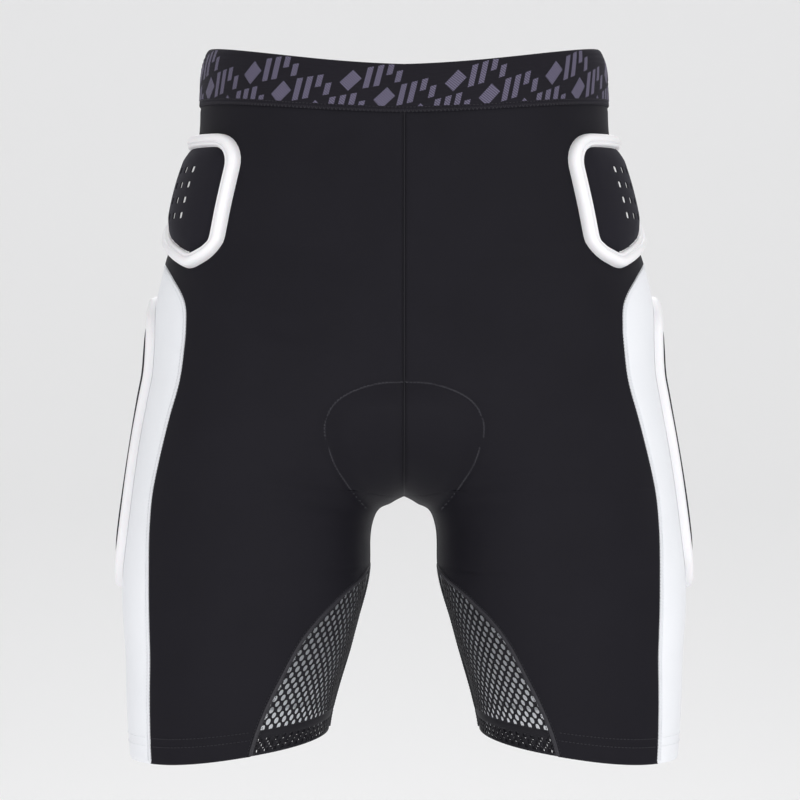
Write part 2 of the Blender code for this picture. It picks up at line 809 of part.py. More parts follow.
def build_stitching(finishes):
    """Flat seam threads that cover the joins between panels."""
    base = FABRIC + LAYER_GAP + SEAM_ROOM
    heights = np.linspace(SEAM_START, SIDE_TIP - FRONT_TIP_CLEAR, 22)
    add_pair("side_seam_front", *ribbon(SIDE_FRONT(heights), heights, base), finishes["white"])
    heights = np.linspace(YOKE_FOOT + YOKE_CLEAR, SIDE_TIP - REAR_TIP_CLEAR, 20)
    add_pair("side_seam_rear", *ribbon(SIDE_REAR(heights), heights, base), finishes["white"])
    heights = np.linspace(SEAM_START, MESH_TIP - MESH_TIP_CLEAR, 13)
    add_pair("mesh_seam_front", *ribbon(MESH_FRONT(heights), heights, base), finishes["black"])
    add_pair("inseam_tape", *ribbon(mesh_rear(heights), heights, base, width=TAPE_WIDTH), finishes["black"])
    low, high = CROTCH + CROTCH_CLEAR, SIDE_LENGTH - BAND_WIDTH - BAND_CLEAR
    for name, side in (("centre_front_seam", 0), ("centre_back_seam", 1)):
        heights = low + (high - low) * np.linspace(0, 1, 22) ** 1.6
        angles = centre_angles(heights)[side]
        middle, top = surface(angles, heights, base), surface(angles, heights, base + STITCH_HEIGHT)
        middle[:, 0] = top[:, 0] = 0.0
        out = np.array([STITCH_WIDTH / 2, 0, 0])
        inside = np.stack([middle - out, middle + out], axis=1)
        outside = np.stack([top - out, top + out], axis=1)
        add_object(name, *sheet_solid(inside, outside), finishes["black"])


CHAMOIS_FRONT = torso(0.255)  # top of the front lobe
CHAMOIS_BACK = torso(0.32)
CHAMOIS_FRONT_WIDE = 58.0  # angle of the front lobe's widest point
CHAMOIS_BACK_WIDE = 60.0
CHAMOIS_DIP = 0.016  # how far it comes down the inner thigh below the crotch
CHAMOIS_GAP = 0.0026  # between it and the panels it is sewn to
CHAMOIS_SHARES = np.linspace(-0.96, 0.96, 15)
CHAMOIS_ACROSS = np.array([0.0, 0.12, 0.32, 0.62, 1.0])


def chamois_limits(share):
    """(angle, upper height, lower height, whether the upper end is on the centre plane) of the left half.

    The share runs from -1 at the back edge through 0 at the crotch to 1 at the front edge.
    """
    front = share >= 0
    top, wide = (CHAMOIS_FRONT, CHAMOIS_FRONT_WIDE) if front else (CHAMOIS_BACK, CHAMOIS_BACK_WIDE)
    angle = wide * abs(share)
    heights = CROTCH + (top - CROTCH) * np.linspace(0, 1, 400) ** 2
    turns = centre_angles(heights)[0] if front else 360 - centre_angles(heights)[1]
    middle = (top + CROTCH) / 2
    on_centre = angle < turns[-1]
    if on_centre:
        upper = float(np.interp(angle, turns, heights))
    else:
        past = (angle - turns[-1]) / (wide - turns[-1])
        upper = middle + (top - middle) * math.sqrt(max(0.0, 1 - past * past))
    lower = middle - (middle - CROTCH + CHAMOIS_DIP) * math.sqrt(max(0.0, 1 - abs(share) ** 2.2))
    return (angle if front else 360 - angle), upper, min(lower, upper - 0.004), on_centre


def chamois_layer(depth):
    """A grid of points of the left half at one depth below the form."""
    columns = []
    for share in CHAMOIS_SHARES:
        angle, upper, lower, on_centre = chamois_limits(share)
        column = surface(np.full(len(CHAMOIS_ACROSS), angle), upper + (lower - upper) * CHAMOIS_ACROSS, -depth)
        if on_centre:
            column[0, 0] = 0.0
        columns.append(column)
    return np.array(columns)


def build_chamois(finishes):
    """The seat pad inside the crotch: a foam layer and its cover, each one piece across the centre plane."""
    depth = CHAMOIS_GAP
    for name, thick, finish in (
        ("chamois_foam", CHAMOIS_FOAM, "foam"),
        ("chamois_cover", CHAMOIS_COVER, "chamois"),
    ):
        left, faces = sheet_solid(chamois_layer(depth + thick), chamois_layer(depth))
        points = np.concatenate([left, left * [-1, 1, 1]])
        both = faces + [[len(left) + i for i in reversed(face)] for face in faces]
        add_object(name, *joined_halves(points, both), finishes[finish])
        depth += thick + LAYER_GAP


def joined_halves(points, faces):
    """Two mirrored halves made one where they meet on the centre plane."""
    places, order, kept = {}, [], []
    for i, point in enumerate(points):
        key = tuple(np.round(point, 6)) if point[0] == 0.0 else i
        if key not in places:
            places[key] = len(kept)
            kept.append(point)
        order.append(places[key])
    mapped = [[order[i] for i in face] for face in faces]
    seen = [tuple(sorted(face)) for face in mapped]
    return kept, [face for face, key in zip(mapped, seen) if seen.count(key) == 1]


def build_pads(finishes):
    """Hip, thigh and tailbone pads."""
    hip = [
        (0.092, 0.048, 0.027),
        (-0.046, 0.048, 0.024),
        (-0.050, -0.004, 0.026),
        (0.020, -0.034, 0.060),
        (0.072, -0.051, 0.020),
        (0.096, -0.040, 0.020),
    ]
    add_pad(
        "hip_pad",
        Layout(180.0, torso(0.65)),
        hip,
        HIP_RIM_HEIGHT,
        HIP_CROWN,
        HIP_PITCH,
        (7, 4, (0.014, 0.004)),
        finishes,
    )
    thigh = [
        (0.022, 0.088, 0.030),
        (-0.010, 0.106, 0.030),
        (-0.060, 0.098, 0.026),
        (-0.080, 0.030, 0.060),
        (-0.076, -0.080, 0.030),
        (-0.045, -0.108, 0.026),
        (0.004, -0.108, 0.026),
        (0.026, -0.080, 0.040),
    ]
    add_pad(
        "thigh_pad",
        Layout(180.0, torso(0.109)),
        thigh,
        THIGH_RIM_HEIGHT,
        THIGH_CROWN,
        THIGH_PITCH,
        (3, 10, (-0.027, 0.0)),
        finishes,
    )
    tail = [
        (0.048, 0.060, 0.022),
        (-0.048, 0.060, 0.022),
        (-0.056, 0.010, 0.030),
        (-0.020, -0.066, 0.018),
        (0.020, -0.066, 0.018),
        (0.056, 0.010, 0.030),
    ]
    add_pad(
        "tailbone_pad",
        Layout(0.0, torso(0.58), rear=True),
        tail,
        TAIL_RIM_HEIGHT,
        TAIL_CROWN,
        TAIL_PITCH,
        (4, 5, (0.0, 0.008)),
        finishes,
        paired=False,
    )


def build_label(finishes):
    """A blank size label sewn inside the back of the waistband."""
    rows = []
    for share in (0.0, 0.5, 1.0):
        height = SIDE_LENGTH - LABEL_TOP - LABEL_HEIGHT * (1 - share)
        layout = np.linspace(-LABEL_WIDTH / 2, LABEL_WIDTH / 2, 5)
        back = centre_angles(height)[1]
        middle = surface(np.array([back]), height, -LAYER_GAP)[0]
        rows.append([[(x, middle[1], middle[2]), (x, middle[1] - LABEL_CLOTH, middle[2])] for x in layout])
    grid = np.array(rows)
    grid[..., 1] -= LABEL_ROOM
    add_object("size_label", *sheet_solid(grid[:, :, 0], grid[:, :, 1]), finishes["label"])


def stand_on_origin():
    """Moves the whole garment so that the origin is at the bottom centre of its box."""
    meshes = [o.data for o in bpy.data.objects]
    corners = np.array([v.co for mesh in meshes for v in mesh.vertices])
    low, high = corners.min(axis=0), corners.max(axis=0)
    middle = (low + high) / 2
    for mesh in meshes:
        for vertex in mesh.vertices:
            vertex.co.y -= middle[1]
            vertex.co.z -= low[2]


def main():
    for old in list(bpy.data.objects):
        bpy.data.objects.remove(old, do_unlink=True)
    finishes = {
        "black": material("black_stretch", (0.012, 0.011, 0.014), 0.62),
        "white": material("white_stretch", (0.80, 0.81, 0.84), 0.60),
        "mesh": material("black_mesh", (0.010, 0.010, 0.012), 0.70),
        "band": material("band_elastic", (0.014, 0.013, 0.017), 0.75),
        "rim": material("white_rim", (0.80, 0.80, 0.83), 0.50),
        "face": material("pad_face", (0.016, 0.015, 0.020), 0.70),
        "foam": material("white_foam", (0.82, 0.82, 0.82), 0.85),
        "chamois": material("chamois_cloth", (0.06, 0.06, 0.07), 0.85),
        "label": material("label_cloth", (0.70, 0.70, 0.72), 0.80),
    }
    build_panels(finishes)
    build_waistband(finishes)
    build_hems(finishes)
    build_stitching(finishes)
    build_chamois(finishes)
    build_pads(finishes)
    build_label(finishes)
    stand_on_origin()


main()
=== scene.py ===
"""The finished look of the padded impact shorts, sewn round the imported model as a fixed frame.

Metres, +Z up, the wearer faces -Y, so the wearer's left is +X. Every piece is cut on the same worn form as
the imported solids: an angle round the left leg's axis (0 inner, 90 front, 180 outer, 270 back) and a height
above the hem. The form's size and place are read from the frame's waistband.
"""

import functools
import logging
import math
from dataclasses import dataclass
from enum import Enum
from typing import Callable

import bmesh
import bpy
import numpy as np
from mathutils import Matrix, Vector
from mathutils.bvhtree import BVHTree
from mathutils.geometry import delaunay_2d_cdt


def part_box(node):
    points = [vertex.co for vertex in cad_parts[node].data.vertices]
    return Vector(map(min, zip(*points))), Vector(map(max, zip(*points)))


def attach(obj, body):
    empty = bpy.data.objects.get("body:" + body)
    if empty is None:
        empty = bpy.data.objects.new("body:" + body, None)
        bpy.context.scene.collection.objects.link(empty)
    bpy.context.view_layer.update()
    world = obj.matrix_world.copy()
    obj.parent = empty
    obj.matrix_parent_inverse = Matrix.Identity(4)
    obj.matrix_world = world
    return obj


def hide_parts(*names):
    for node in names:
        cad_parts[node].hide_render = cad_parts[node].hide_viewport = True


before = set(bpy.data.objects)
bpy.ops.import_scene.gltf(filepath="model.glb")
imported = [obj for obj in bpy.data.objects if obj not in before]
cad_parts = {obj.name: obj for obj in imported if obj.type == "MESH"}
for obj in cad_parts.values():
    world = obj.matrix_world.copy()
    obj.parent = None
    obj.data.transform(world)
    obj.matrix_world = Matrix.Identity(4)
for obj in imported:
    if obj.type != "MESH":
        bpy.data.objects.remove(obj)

Array = np.ndarray
Outline = Array
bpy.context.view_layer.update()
LOG = logging.getLogger("shorts")

BODY = "root"
WEAVE_MAP = "weave"
BAND_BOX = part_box("waistband")
SIDE_LENGTH = BAND_BOX[1].z
INSEAM = SIDE_LENGTH * 0.38012  # share of the side length from hem to crotch
RISE = SIDE_LENGTH - INSEAM
BAND_WIDTH = 0.041
BAND_CLOTH = 0.0024
FABRIC = 0.0012
BAND_STRETCH = 1.12  # the worn band's girth over the cut one
HEM_STRETCH = 1.10  # the same for the turned-up hems
FAR = 0.40
BISECTIONS = 30


class Side(Enum):
    """Which half of the garment a piece belongs to."""

    LEFT = 1
    RIGHT = -1

    @property
    def tag(self) -> str:
        """The ending of the piece's name."""
        return self.name.lower()


class Weave(Enum):
    """How a finish is made up close."""

    KNIT = "knit"
    WOVEN = "woven"
    HATCHED = "hatched"
    MOULDED = "moulded"
    FOAM = "foam"
    THREAD = "thread"
    BRUSHED = "brushed"


# ---------------------------------------------------------------- finishes
@dataclass(frozen=True)
class Finish:
    """One cloth, rubber, foam or thread finish."""

    name: str
    slot: str
    dark: tuple[float, float, float]
    light: tuple[float, float, float]
    weave: Weave
    roughness: tuple[float, float] = (0.55, 0.75)
    sheen: float = 0.0
    sheen_roughness: float = 0.4
    sheen_tint: tuple[float, float, float] = (1.0, 1.0, 1.0)
    pitch_mm: tuple[float, float] = (0.7, 0.9)
    relief_mm: float = 0.12
    mottle_per_m: float = 24.0
    grain_per_m: float = 900.0
    weave_share: float = 0.35
    specular: float = 0.5
    subsurface: float = 0.0

    def build(self) -> bpy.types.Material:
        """Makes the node material.

        Returns:
            The new material.
        """
        made = bpy.data.materials.new(self.name)
        made.use_nodes = True
        made.diffuse_color = (*self.light, 1)
        tree = made.node_tree
        shader = tree.nodes["Principled BSDF"]
        for socket, value in (
            ("Sheen Weight", self.sheen),
            ("Sheen Roughness", self.sheen_roughness),
            ("Sheen Tint", (*self.sheen_tint, 1)),
            ("Specular IOR Level", self.specular),
            ("Subsurface Weight", self.subsurface),
            ("Subsurface Scale", 0.002),
        ):
            shader.inputs[socket].default_value = value
        place = tree.nodes.new("ShaderNodeTexCoord").outputs["Object"]
        mottle = self.noise(tree, place, self.mottle_per_m, 3.0)
        grain = self.noise(tree, place, self.grain_per_m, 2.0)
        fibre = self.fibre(tree, place)
        shade = self.mix_value(tree, self.weave_share, mottle, fibre)
        shade = self.mix_value(tree, 0.25, shade, grain)
        colour = tree.nodes.new("ShaderNodeMix")
        colour.data_type = "RGBA"
        colour.inputs[6].default_value = (*self.dark, 1)
        colour.inputs[7].default_value = (*self.light, 1)
        tree.links.new(shade, colour.inputs[0])
        tree.links.new(colour.outputs[2], shader.inputs["Base Color"])
        rough = tree.nodes.new("ShaderNodeMapRange")
        rough.inputs["From Min"].default_value = 0.25
        rough.inputs["From Max"].default_value = 0.75
        rough.inputs["To Min"].default_value, rough.inputs["To Max"].default_value = self.roughness
        tree.links.new(self.mix_value(tree, 0.5, mottle, grain), rough.inputs["Value"])
        tree.links.new(rough.outputs["Result"], shader.inputs["Roughness"])
        bump = tree.nodes.new("ShaderNodeBump")
        bump.inputs["Strength"].default_value = 0.6
        bump.inputs["Distance"].default_value = self.relief_mm / 1000
        tree.links.new(self.mix_value(tree, 0.3, fibre, grain), bump.inputs["Height"])
        tree.links.new(bump.outputs["Normal"], shader.inputs["Normal"])
        return made

    @staticmethod
    def noise(tree: bpy.types.NodeTree, place: bpy.types.NodeSocket, scale: float, detail: float):
        """A noise over the object's own coordinates.

        Args:
            tree: the material's nodes.
            place: the coordinates.
            scale: waves per metre.
            detail: octaves.

        Returns:
            The noise's value socket.
        """
        node = tree.nodes.new("ShaderNodeTexNoise")
        node.inputs["Scale"].default_value = scale
        node.inputs["Detail"].default_value = detail
        tree.links.new(place, node.inputs["Vector"])
        return node.outputs["Fac"]

    @staticmethod
    def mix_value(tree: bpy.types.NodeTree, share: float, a, b):
        """Mixes two value sockets; share is how much of b shows.

        Args:
            tree: the material's nodes.
            share: from 0, all a, to 1, all b.
            a: a value socket.
            b: a value socket.

        Returns:
            The mixed value socket.
        """
        node = tree.nodes.new("ShaderNodeMix")
        node.inputs[0].default_value = share
        tree.links.new(a, node.inputs[2])
        tree.links.new(b, node.inputs[3])
        return node.outputs[0]

    def wave(self, tree: bpy.types.NodeTree, flat, axis: str, pitch_mm: float, distortion: float = 0.6):
        """Bands across the cloth.

        Args:
            tree: the material's nodes.
            flat: coordinates in millimetres along the cloth.
            axis: X, Y or DIAGONAL.
            pitch_mm: from one band to the next.
            distortion: how uneven the bands are.

        Returns:
            The bands' value socket.
        """
        node = tree.nodes.new("ShaderNodeTexWave")
        node.bands_direction = axis
        node.inputs["Scale"].default_value = 2 * math.pi / (20 * pitch_mm)
        node.inputs["Distortion"].default_value = distortion
        node.inputs["Detail"].default_value = 1.0
        tree.links.new(flat, node.inputs["Vector"])
        return node.outputs["Fac"]

    def fibre(self, tree: bpy.types.NodeTree, place):
        """The weave, grain or pores of the finish.

        Args:
            tree: the material's nodes.
            place: the object's own coordinates.

        Returns:
            A value socket from 0, low and dark, to 1, high and light.
        """
        if self.weave in (Weave.MOULDED, Weave.FOAM):
            node = tree.nodes.new("ShaderNodeTexVoronoi")
            node.inputs["Scale"].default_value = 1000 / self.pitch_mm[0]
            tree.links.new(place, node.inputs["Vector"])
            return node.outputs["Distance"]
        if self.weave is Weave.BRUSHED:
            return self.noise(tree, place, 1000 / self.pitch_mm[0], 4.0)
        source = tree.nodes.new("ShaderNodeUVMap")
        source.uv_map = WEAVE_MAP
        flat = tree.nodes.new("ShaderNodeMapping")
        flat.inputs["Scale"].default_value = (1000, 1000, 1000)
        tree.links.new(source.outputs["UV"], flat.inputs["Vector"])
        flat = flat.outputs["Vector"]
        if self.weave is Weave.HATCHED:
            return self.wave(tree, flat, "DIAGONAL", self.pitch_mm[0], 0.9)
        across = self.wave(tree, flat, "X", self.pitch_mm[0])
        if self.weave is Weave.THREAD:
            return self.wave(tree, flat, "DIAGONAL", self.pitch_mm[0])
        along = self.wave(tree, flat, "Y", self.pitch_mm[1])
        return self.mix_value(tree, 0.5, across, along)


@dataclass(frozen=True)
class Wardrobe:
    """Every finish of the garment."""

    black: Finish = Finish(
        "black_stretch_knit", "black_stretch", (0.0075, 0.0070, 0.0095), (0.0135, 0.0128, 0.0170), Weave.KNIT,
        roughness=(0.50, 0.66), sheen=0.01, sheen_roughness=0.42, sheen_tint=(0.80, 0.78, 1.0), specular=0.06,
    )
    white: Finish = Finish(
        "white_stretch_knit", "white_stretch", (0.74, 0.755, 0.79), (0.84, 0.85, 0.88), Weave.KNIT,
        roughness=(0.58, 0.74), sheen=0.05, relief_mm=0.10, specular=0.2,
    )
    net: Finish = Finish(
        "black_warp_net", "black_mesh", (0.005, 0.005, 0.007), (0.013, 0.012, 0.016), Weave.THREAD,
        roughness=(0.55, 0.80), sheen=0.02, pitch_mm=(0.45, 0.45), relief_mm=0.08, specular=0.15,
    )
    band: Finish = Finish(
        "black_ribbed_elastic", "band_elastic", (0.0075, 0.0070, 0.0090), (0.0170, 0.0155, 0.0210), Weave.WOVEN,
        roughness=(0.62, 0.82), sheen=0.04, sheen_roughness=0.5, sheen_tint=(0.8, 0.78, 1.0), pitch_mm=(0.8, 1.1),
        relief_mm=0.16, weave_share=0.55, specular=0.06,
    )
    motif: Finish = Finish(
        "grey_violet_motif_yarn", "band_elastic", (0.030, 0.026, 0.044), (0.150, 0.135, 0.205), Weave.HATCHED,
        roughness=(0.60, 0.80), sheen=0.06, pitch_mm=(1.15, 1.15), relief_mm=0.20, weave_share=0.80, specular=0.2,
    )
    black_thread: Finish = Finish(
        "black_sewing_thread", "seam_thread_black", (0.010, 0.010, 0.013), (0.030, 0.028, 0.036), Weave.THREAD,
        roughness=(0.35, 0.55), sheen=0.05, pitch_mm=(0.5, 0.5), relief_mm=0.06, specular=0.3,
    )
    seam_thread: Finish = Finish(
        "fine_black_thread", "seam_thread_black", (0.006, 0.006, 0.008), (0.014, 0.013, 0.017), Weave.THREAD,
        roughness=(0.50, 0.70), sheen=0.02, pitch_mm=(0.5, 0.5), relief_mm=0.04, specular=0.15,
    )
    pad_thread: Finish = Finish(
        "grey_sewing_thread", "seam_thread_black", (0.020, 0.020, 0.026), (0.060, 0.058, 0.070), Weave.THREAD,
        roughness=(0.35, 0.55), sheen=0.05, pitch_mm=(0.5, 0.5), relief_mm=0.06, specular=0.3,
    )
    white_thread: Finish = Finish(
        "white_sewing_thread", "seam_thread_white", (0.62, 0.63, 0.66), (0.86, 0.87, 0.90), Weave.THREAD,
        roughness=(0.35, 0.55), sheen=0.10, pitch_mm=(0.5, 0.5), relief_mm=0.06,
    )
    rim: Finish = Finish(
        "white_moulded_edging", "white_rim", (0.76, 0.755, 0.775), (0.86, 0.85, 0.87), Weave.MOULDED,
        roughness=(0.36, 0.52), pitch_mm=(0.5, 0.5), relief_mm=0.03, weave_share=0.15, subsurface=0.05,
    )
    face: Finish = Finish(
        "black_pad_cloth", "pad_face", (0.0085, 0.0080, 0.0110), (0.0190, 0.0180, 0.0240), Weave.KNIT,
        roughness=(0.60, 0.80), sheen=0.04, sheen_tint=(0.8, 0.78, 1.0), pitch_mm=(0.9, 0.9), relief_mm=0.14,
        specular=0.06,
    )
    foam: Finish = Finish(
        "white_cell_foam", "white_foam", (0.70, 0.70, 0.70), (0.90, 0.90, 0.90), Weave.FOAM,
        roughness=(0.80, 0.95), pitch_mm=(0.9, 0.9), relief_mm=0.20, weave_share=0.5,
    )
    chamois: Finish = Finish(
        "brushed_seat_lining", "chamois_cloth", (0.035, 0.035, 0.042), (0.085, 0.085, 0.095), Weave.BRUSHED,
        roughness=(0.75, 0.95), sheen=0.15, pitch_mm=(0.8, 0.8), relief_mm=0.18, weave_share=0.6,
    )
    label: Finish = Finish(
        "blank_satin_label", "label_cloth", (0.60, 0.60, 0.62), (0.78, 0.78, 0.80), Weave.WOVEN,
        roughness=(0.30, 0.45), sheen=0.10, pitch_mm=(0.4, 0.4), relief_mm=0.05,
    )


CLOTHES = Wardrobe()


@functools.cache
def material_of(finish: Finish) -> bpy.types.Material:
    """The one material of a finish, made when first asked for."""
    return finish.build()


# ---------------------------------------------------------------- small sums
def smooth(share: Array) -> Array:
    """An easing from 0 to 1 that is level at both ends."""
    share = np.clip(share, 0, 1)
    return share * share * (3 - 2 * share)


def height_of(station: float) -> float:
    """The height of a station: 0 is the hem, 1 the crotch and 2 the waistband's top."""
    return station * INSEAM if station <= 1 else INSEAM + (station - 1) * RISE


def unit(vectors: Array) -> Array:
    """The vectors at length 1."""
    return vectors / np.maximum(np.linalg.norm(vectors, axis=-1, keepdims=True), 1e-12)


@dataclass(frozen=True)
class Curve:
    """A smooth value by station up the garment, level beyond its ends."""

    points: tuple[tuple[float, float], ...]

    @functools.cached_property
    def knots(self) -> tuple[Array, Array, Array]:
        """Heights, values and slopes at the curve's points."""
        at = np.array([height_of(station) for station, _ in self.points])
        size = np.array([value for _, value in self.points])
        slope = np.diff(size) / np.diff(at)
        return at, size, np.concatenate([[slope[0]], (slope[1:] + slope[:-1]) / 2, [slope[-1]]])

    def __call__(self, height: Array) -> Array:
        """Reads the curve.

        Args:
            height: heights above the hem.

        Returns:
            The value at each height.
        """
        at, size, tangent = self.knots
        height = np.clip(height, at[0], at[-1])
        i = np.clip(np.searchsorted(at, height) - 1, 0, len(at) - 2)
        width = at[i + 1] - at[i]
        t = (height - at[i]) / width
        return (
            (1 + 2 * t) * (1 - t) ** 2 * size[i]
            + t * (1 - t) ** 2 * width * tangent[i]
            + t * t * (3 - 2 * t) * size[i + 1]
            + t * t * (t - 1) * width * tangent[i + 1]
        )


# ---------------------------------------------------------------- the worn form
@dataclass
class BodyForm:
    """The worn shape that every piece lies on: two legs run softly into a pelvis and waist."""

    girth: float = 1.0
    shift: float = 0.0
    outer: Curve = Curve((
        (0.0, 0.198), (0.205, 0.201), (0.395, 0.202), (0.579, 0.2035), (0.728, 0.2025), (1.0, 0.1965),
        (1.156, 0.188), (1.316, 0.177), (1.45, 0.16), (1.609, 0.135), (1.797, 0.11),
    ))
    leg_inner: Curve = Curve((
        (0.0, 0.056), (0.103, 0.055), (0.205, 0.051), (0.431, 0.038), (0.672, 0.027), (0.882, 0.0265),
        (1.0, 0.0265), (1.156, 0.018), (1.453, 0.0),
    ))
    leg_front: Curve = Curve(((0.0, 0.073), (0.462, 0.081), (1.0, 0.094), (1.297, 0.098), (1.547, 0.07)))
    leg_back: Curve = Curve(((0.0, 0.073), (0.462, 0.084), (1.0, 0.1), (1.297, 0.11), (1.547, 0.075)))
    torso_half: Curve = Curve((
        (1.0, 0.088), (1.156, 0.112), (1.316, 0.155), (1.406, 0.17), (1.509, 0.1695), (1.553, 0.1665),
        (1.622, 0.162), (1.691, 0.1565), (1.759, 0.151), (1.816, 0.148), (1.897, 0.147), (1.966, 0.145),
        (2.0, 0.1405),
    ))
    torso_front: Curve = Curve(((1.0, 0.098), (1.297, 0.104), (1.594, 0.106), (1.797, 0.102), (2.0, 0.098)))
    torso_back: Curve = Curve(((1.0, 0.104), (1.297, 0.124), (1.5, 0.125), (1.75, 0.112), (2.0, 0.102)))
    fold_reach: Curve = Curve(((0.8, 0.075), (1.15, 0.042)))
    leg_square: float = 2.35
    torso_square: float = 2.2
    seat_depth: float = 0.066
    waist_drop: float = 0.020
    hem_lift: float = 0.019

    @classmethod
    def fitted(cls) -> "BodyForm":
        """Reads the girth and the place from front to back off the frame's waistband.

        Returns:
            The form in the frame's coordinates.
        """
        plain = cls()
        heights = SIDE_LENGTH - BAND_WIDTH * np.array([1.0, 0.5, 0.0])
        points = []
        for height in heights:
            front, back = plain.centre_angles(height)
            base, normal = plain.spot(np.linspace(front, back, 21), np.full(21, height))
            points.append(base + normal * BAND_CLOTH)
        points = np.concatenate(points)
        girth = (BAND_BOX[1].x - BAND_BOX[0].x) / 2 / points[:, 0].max()
        return cls(girth=float(girth), shift=float(BAND_BOX[0].y - points[:, 1].min() * girth))

    def leg_field(self, x: Array, y: Array, z: Array) -> Array:
        """Below zero inside the left leg."""
        curves = (self.outer, self.leg_inner, self.leg_front, self.leg_back)
        outer, inner, front, back = (curve(z) * self.girth for curve in curves)
        half, deep = (outer - inner) / 2, (front + back) / 2
        across = np.abs((x - (outer + inner) / 2) / half) ** self.leg_square
        along = np.abs((y - (back - front) / 2) / deep) ** self.leg_square
        return ((across + along) ** (1 / self.leg_square) - 1) * half

    def torso_field(self, x: Array, y: Array, z: Array) -> Array:
        """Below zero inside the pelvis and waist, which round off underneath."""
        half, front, back = (c(z) * self.girth for c in (self.torso_half, self.torso_front, self.torso_back))
        deep = (front + back) / 2
        across = np.abs(x / half) ** self.torso_square
        along = np.abs((y - (back - front) / 2) / deep) ** self.torso_square
        under = (np.maximum(height_of(1.222) - z, 0) / self.seat_depth) ** self.torso_square
        return ((across + along + under) ** (1 / self.torso_square) - 1) * deep

    def body_field(self, x: Array, y: Array, z: Array) -> Array:
        """Below zero inside the worn garment."""
        legs = np.minimum(self.leg_field(x, y, z), self.leg_field(-x, y, z))
        torso = self.torso_field(x, y, z)
        reach = self.fold_reach(z) * self.girth
        near = np.maximum(reach - np.abs(legs - torso), 0) / reach
        return np.minimum(legs, torso) - near * near * reach / 4

    @functools.cached_property
    def crotch(self) -> tuple[float, float]:
        """Height and depth of the lowest point between the legs."""
        y = np.linspace(-0.1, 0.1, 801) * self.girth
        low, high = height_of(0.5), height_of(1.4)
        for _ in range(BISECTIONS):
            middle = (low + high) / 2
            inside = self.body_field(0 * y, y, middle).min() < 0
            low, high = (low, middle) if inside else (middle, high)
        return high, float(y[np.argmin(self.body_field(0 * y, y, high))])

    def axis_x(self, z: Array) -> Array:
        """The left leg's middle, from which its section's rays go out."""
        return (self.outer(z) + self.leg_inner(z)) / 2 * self.girth

    def radius(self, angle: Array, z: Array) -> Array:
        """Distance from the leg's middle to the form along each angle."""
        x0, y0 = self.axis_x(z), self.crotch[1]
        dx, dy = -np.cos(np.radians(angle)), -np.sin(np.radians(angle))
        low, high = np.zeros_like(z), np.minimum(FAR, x0 / np.maximum(-dx, x0 / FAR))
        for _ in range(BISECTIONS):
            middle = (low + high) / 2
            inside = self.body_field(x0 + middle * dx, y0 + middle * dy, z) < 0
            low, high = np.where(inside, middle, low), np.where(inside, high, middle)
        return (low + high) / 2

    def level(self, angle: Array, height: Array) -> Array:
        """Real height of a pattern height: the waist dips in front, and the hem lifts at the inner leg."""
        angle = np.asarray(angle, float) % 360
        share = np.clip((180 - angle) / (180 - 54.0), 0, 1)
        waist = height_of(1.5)
        upper = np.clip((height - waist) / (SIDE_LENGTH - waist), 0, 1) ** 1.5
        inner = smooth(1 - np.minimum(angle, 360 - angle) / 130.0)
        lower = np.clip(1 - height / height_of(0.62), 0, 1)
        drop = self.waist_drop * (0.5 - 0.5 * np.cos(np.pi * share)) * upper
        return height - drop + self.hem_lift * inner * lower

    @functools.cached_property
    def memory(self) -> dict[tuple[bytes, bytes], tuple[Array, Array]]:
        """Spots already worked out, so that the right half repeats the left one's."""
        return {}

    def spot(self, angle: Array, height: Array, side: Side = Side.LEFT) -> tuple[Array, Array]:
        """Points on the form and the outward directions there.

        Args:
            angle: pattern angles round the left leg's axis, in degrees.
            height: pattern heights.
            side: the half of the garment.

        Returns:
            Points and outward directions, in the frame's coordinates.
        """
        angle, height = np.broadcast_arrays(np.asarray(angle, float), np.asarray(height, float))
        key = (angle.tobytes(), height.tobytes())
        if key not in self.memory:
            z = self.level(angle, height)
            r = self.radius(angle, z)
            x = self.axis_x(z) - r * np.cos(np.radians(angle))
            y = self.crotch[1] - r * np.sin(np.radians(angle))
            e = 0.0005
            field_at = self.body_field
            normal = np.stack([
                field_at(x + e, y, z) - field_at(x - e, y, z),
                field_at(x, y + e, z) - field_at(x, y - e, z),
                field_at(x, y, z + e) - field_at(x, y, z - e),
            ], axis=-1)
            normal = unit(normal)
            normal[..., 2] *= np.clip(height / 0.03, 0, 1) * np.clip((SIDE_LENGTH - height) / 0.03, 0, 1)
            self.memory[key] = np.stack([x, y + self.shift, z], axis=-1), normal
        point, normal = self.memory[key]
        mirror = np.array([side.value, 1, 1])
        return point * mirror, normal * mirror

    @functools.cached_property
    def centre_table(self) -> tuple[Array, Array, Array]:
        """Centre front and centre back angles, over the square root of the height share above the crotch."""
        crotch, depth = self.crotch
        root = np.linspace(0, 1, 201)
        heights = crotch + (SIDE_LENGTH - crotch) * root * root
        turns = []
        for sign, guess in ((-1, 60.0), (1, 300.0)):
            z = self.level(guess, heights)
            low, high = np.zeros_like(z), np.full_like(z, FAR)
            for _ in range(BISECTIONS):
                middle = (low + high) / 2
                inside = self.body_field(0 * z, depth + sign * middle, z) < 0
                low, high = np.where(inside, middle, low), np.where(inside, high, middle)
            turns.append(np.degrees(np.arctan2(low, self.axis_x(z))))
        return root, turns[0], 360 - turns[1]

    def centre_angles(self, height: Array) -> tuple[Array, Array]:
        """Angles of the centre front and the centre back; 0 and 360 below the crotch."""
        share = (np.asarray(height, float) - self.crotch[0]) / (SIDE_LENGTH - self.crotch[0])
        root, front, back = self.centre_table
        at = np.sqrt(np.clip(share, 0, 1))
        return (
            np.where(share > 0, np.interp(at, root, front), 0.0),
            np.where(share > 0, np.interp(at, root, back), 360.0),
        )

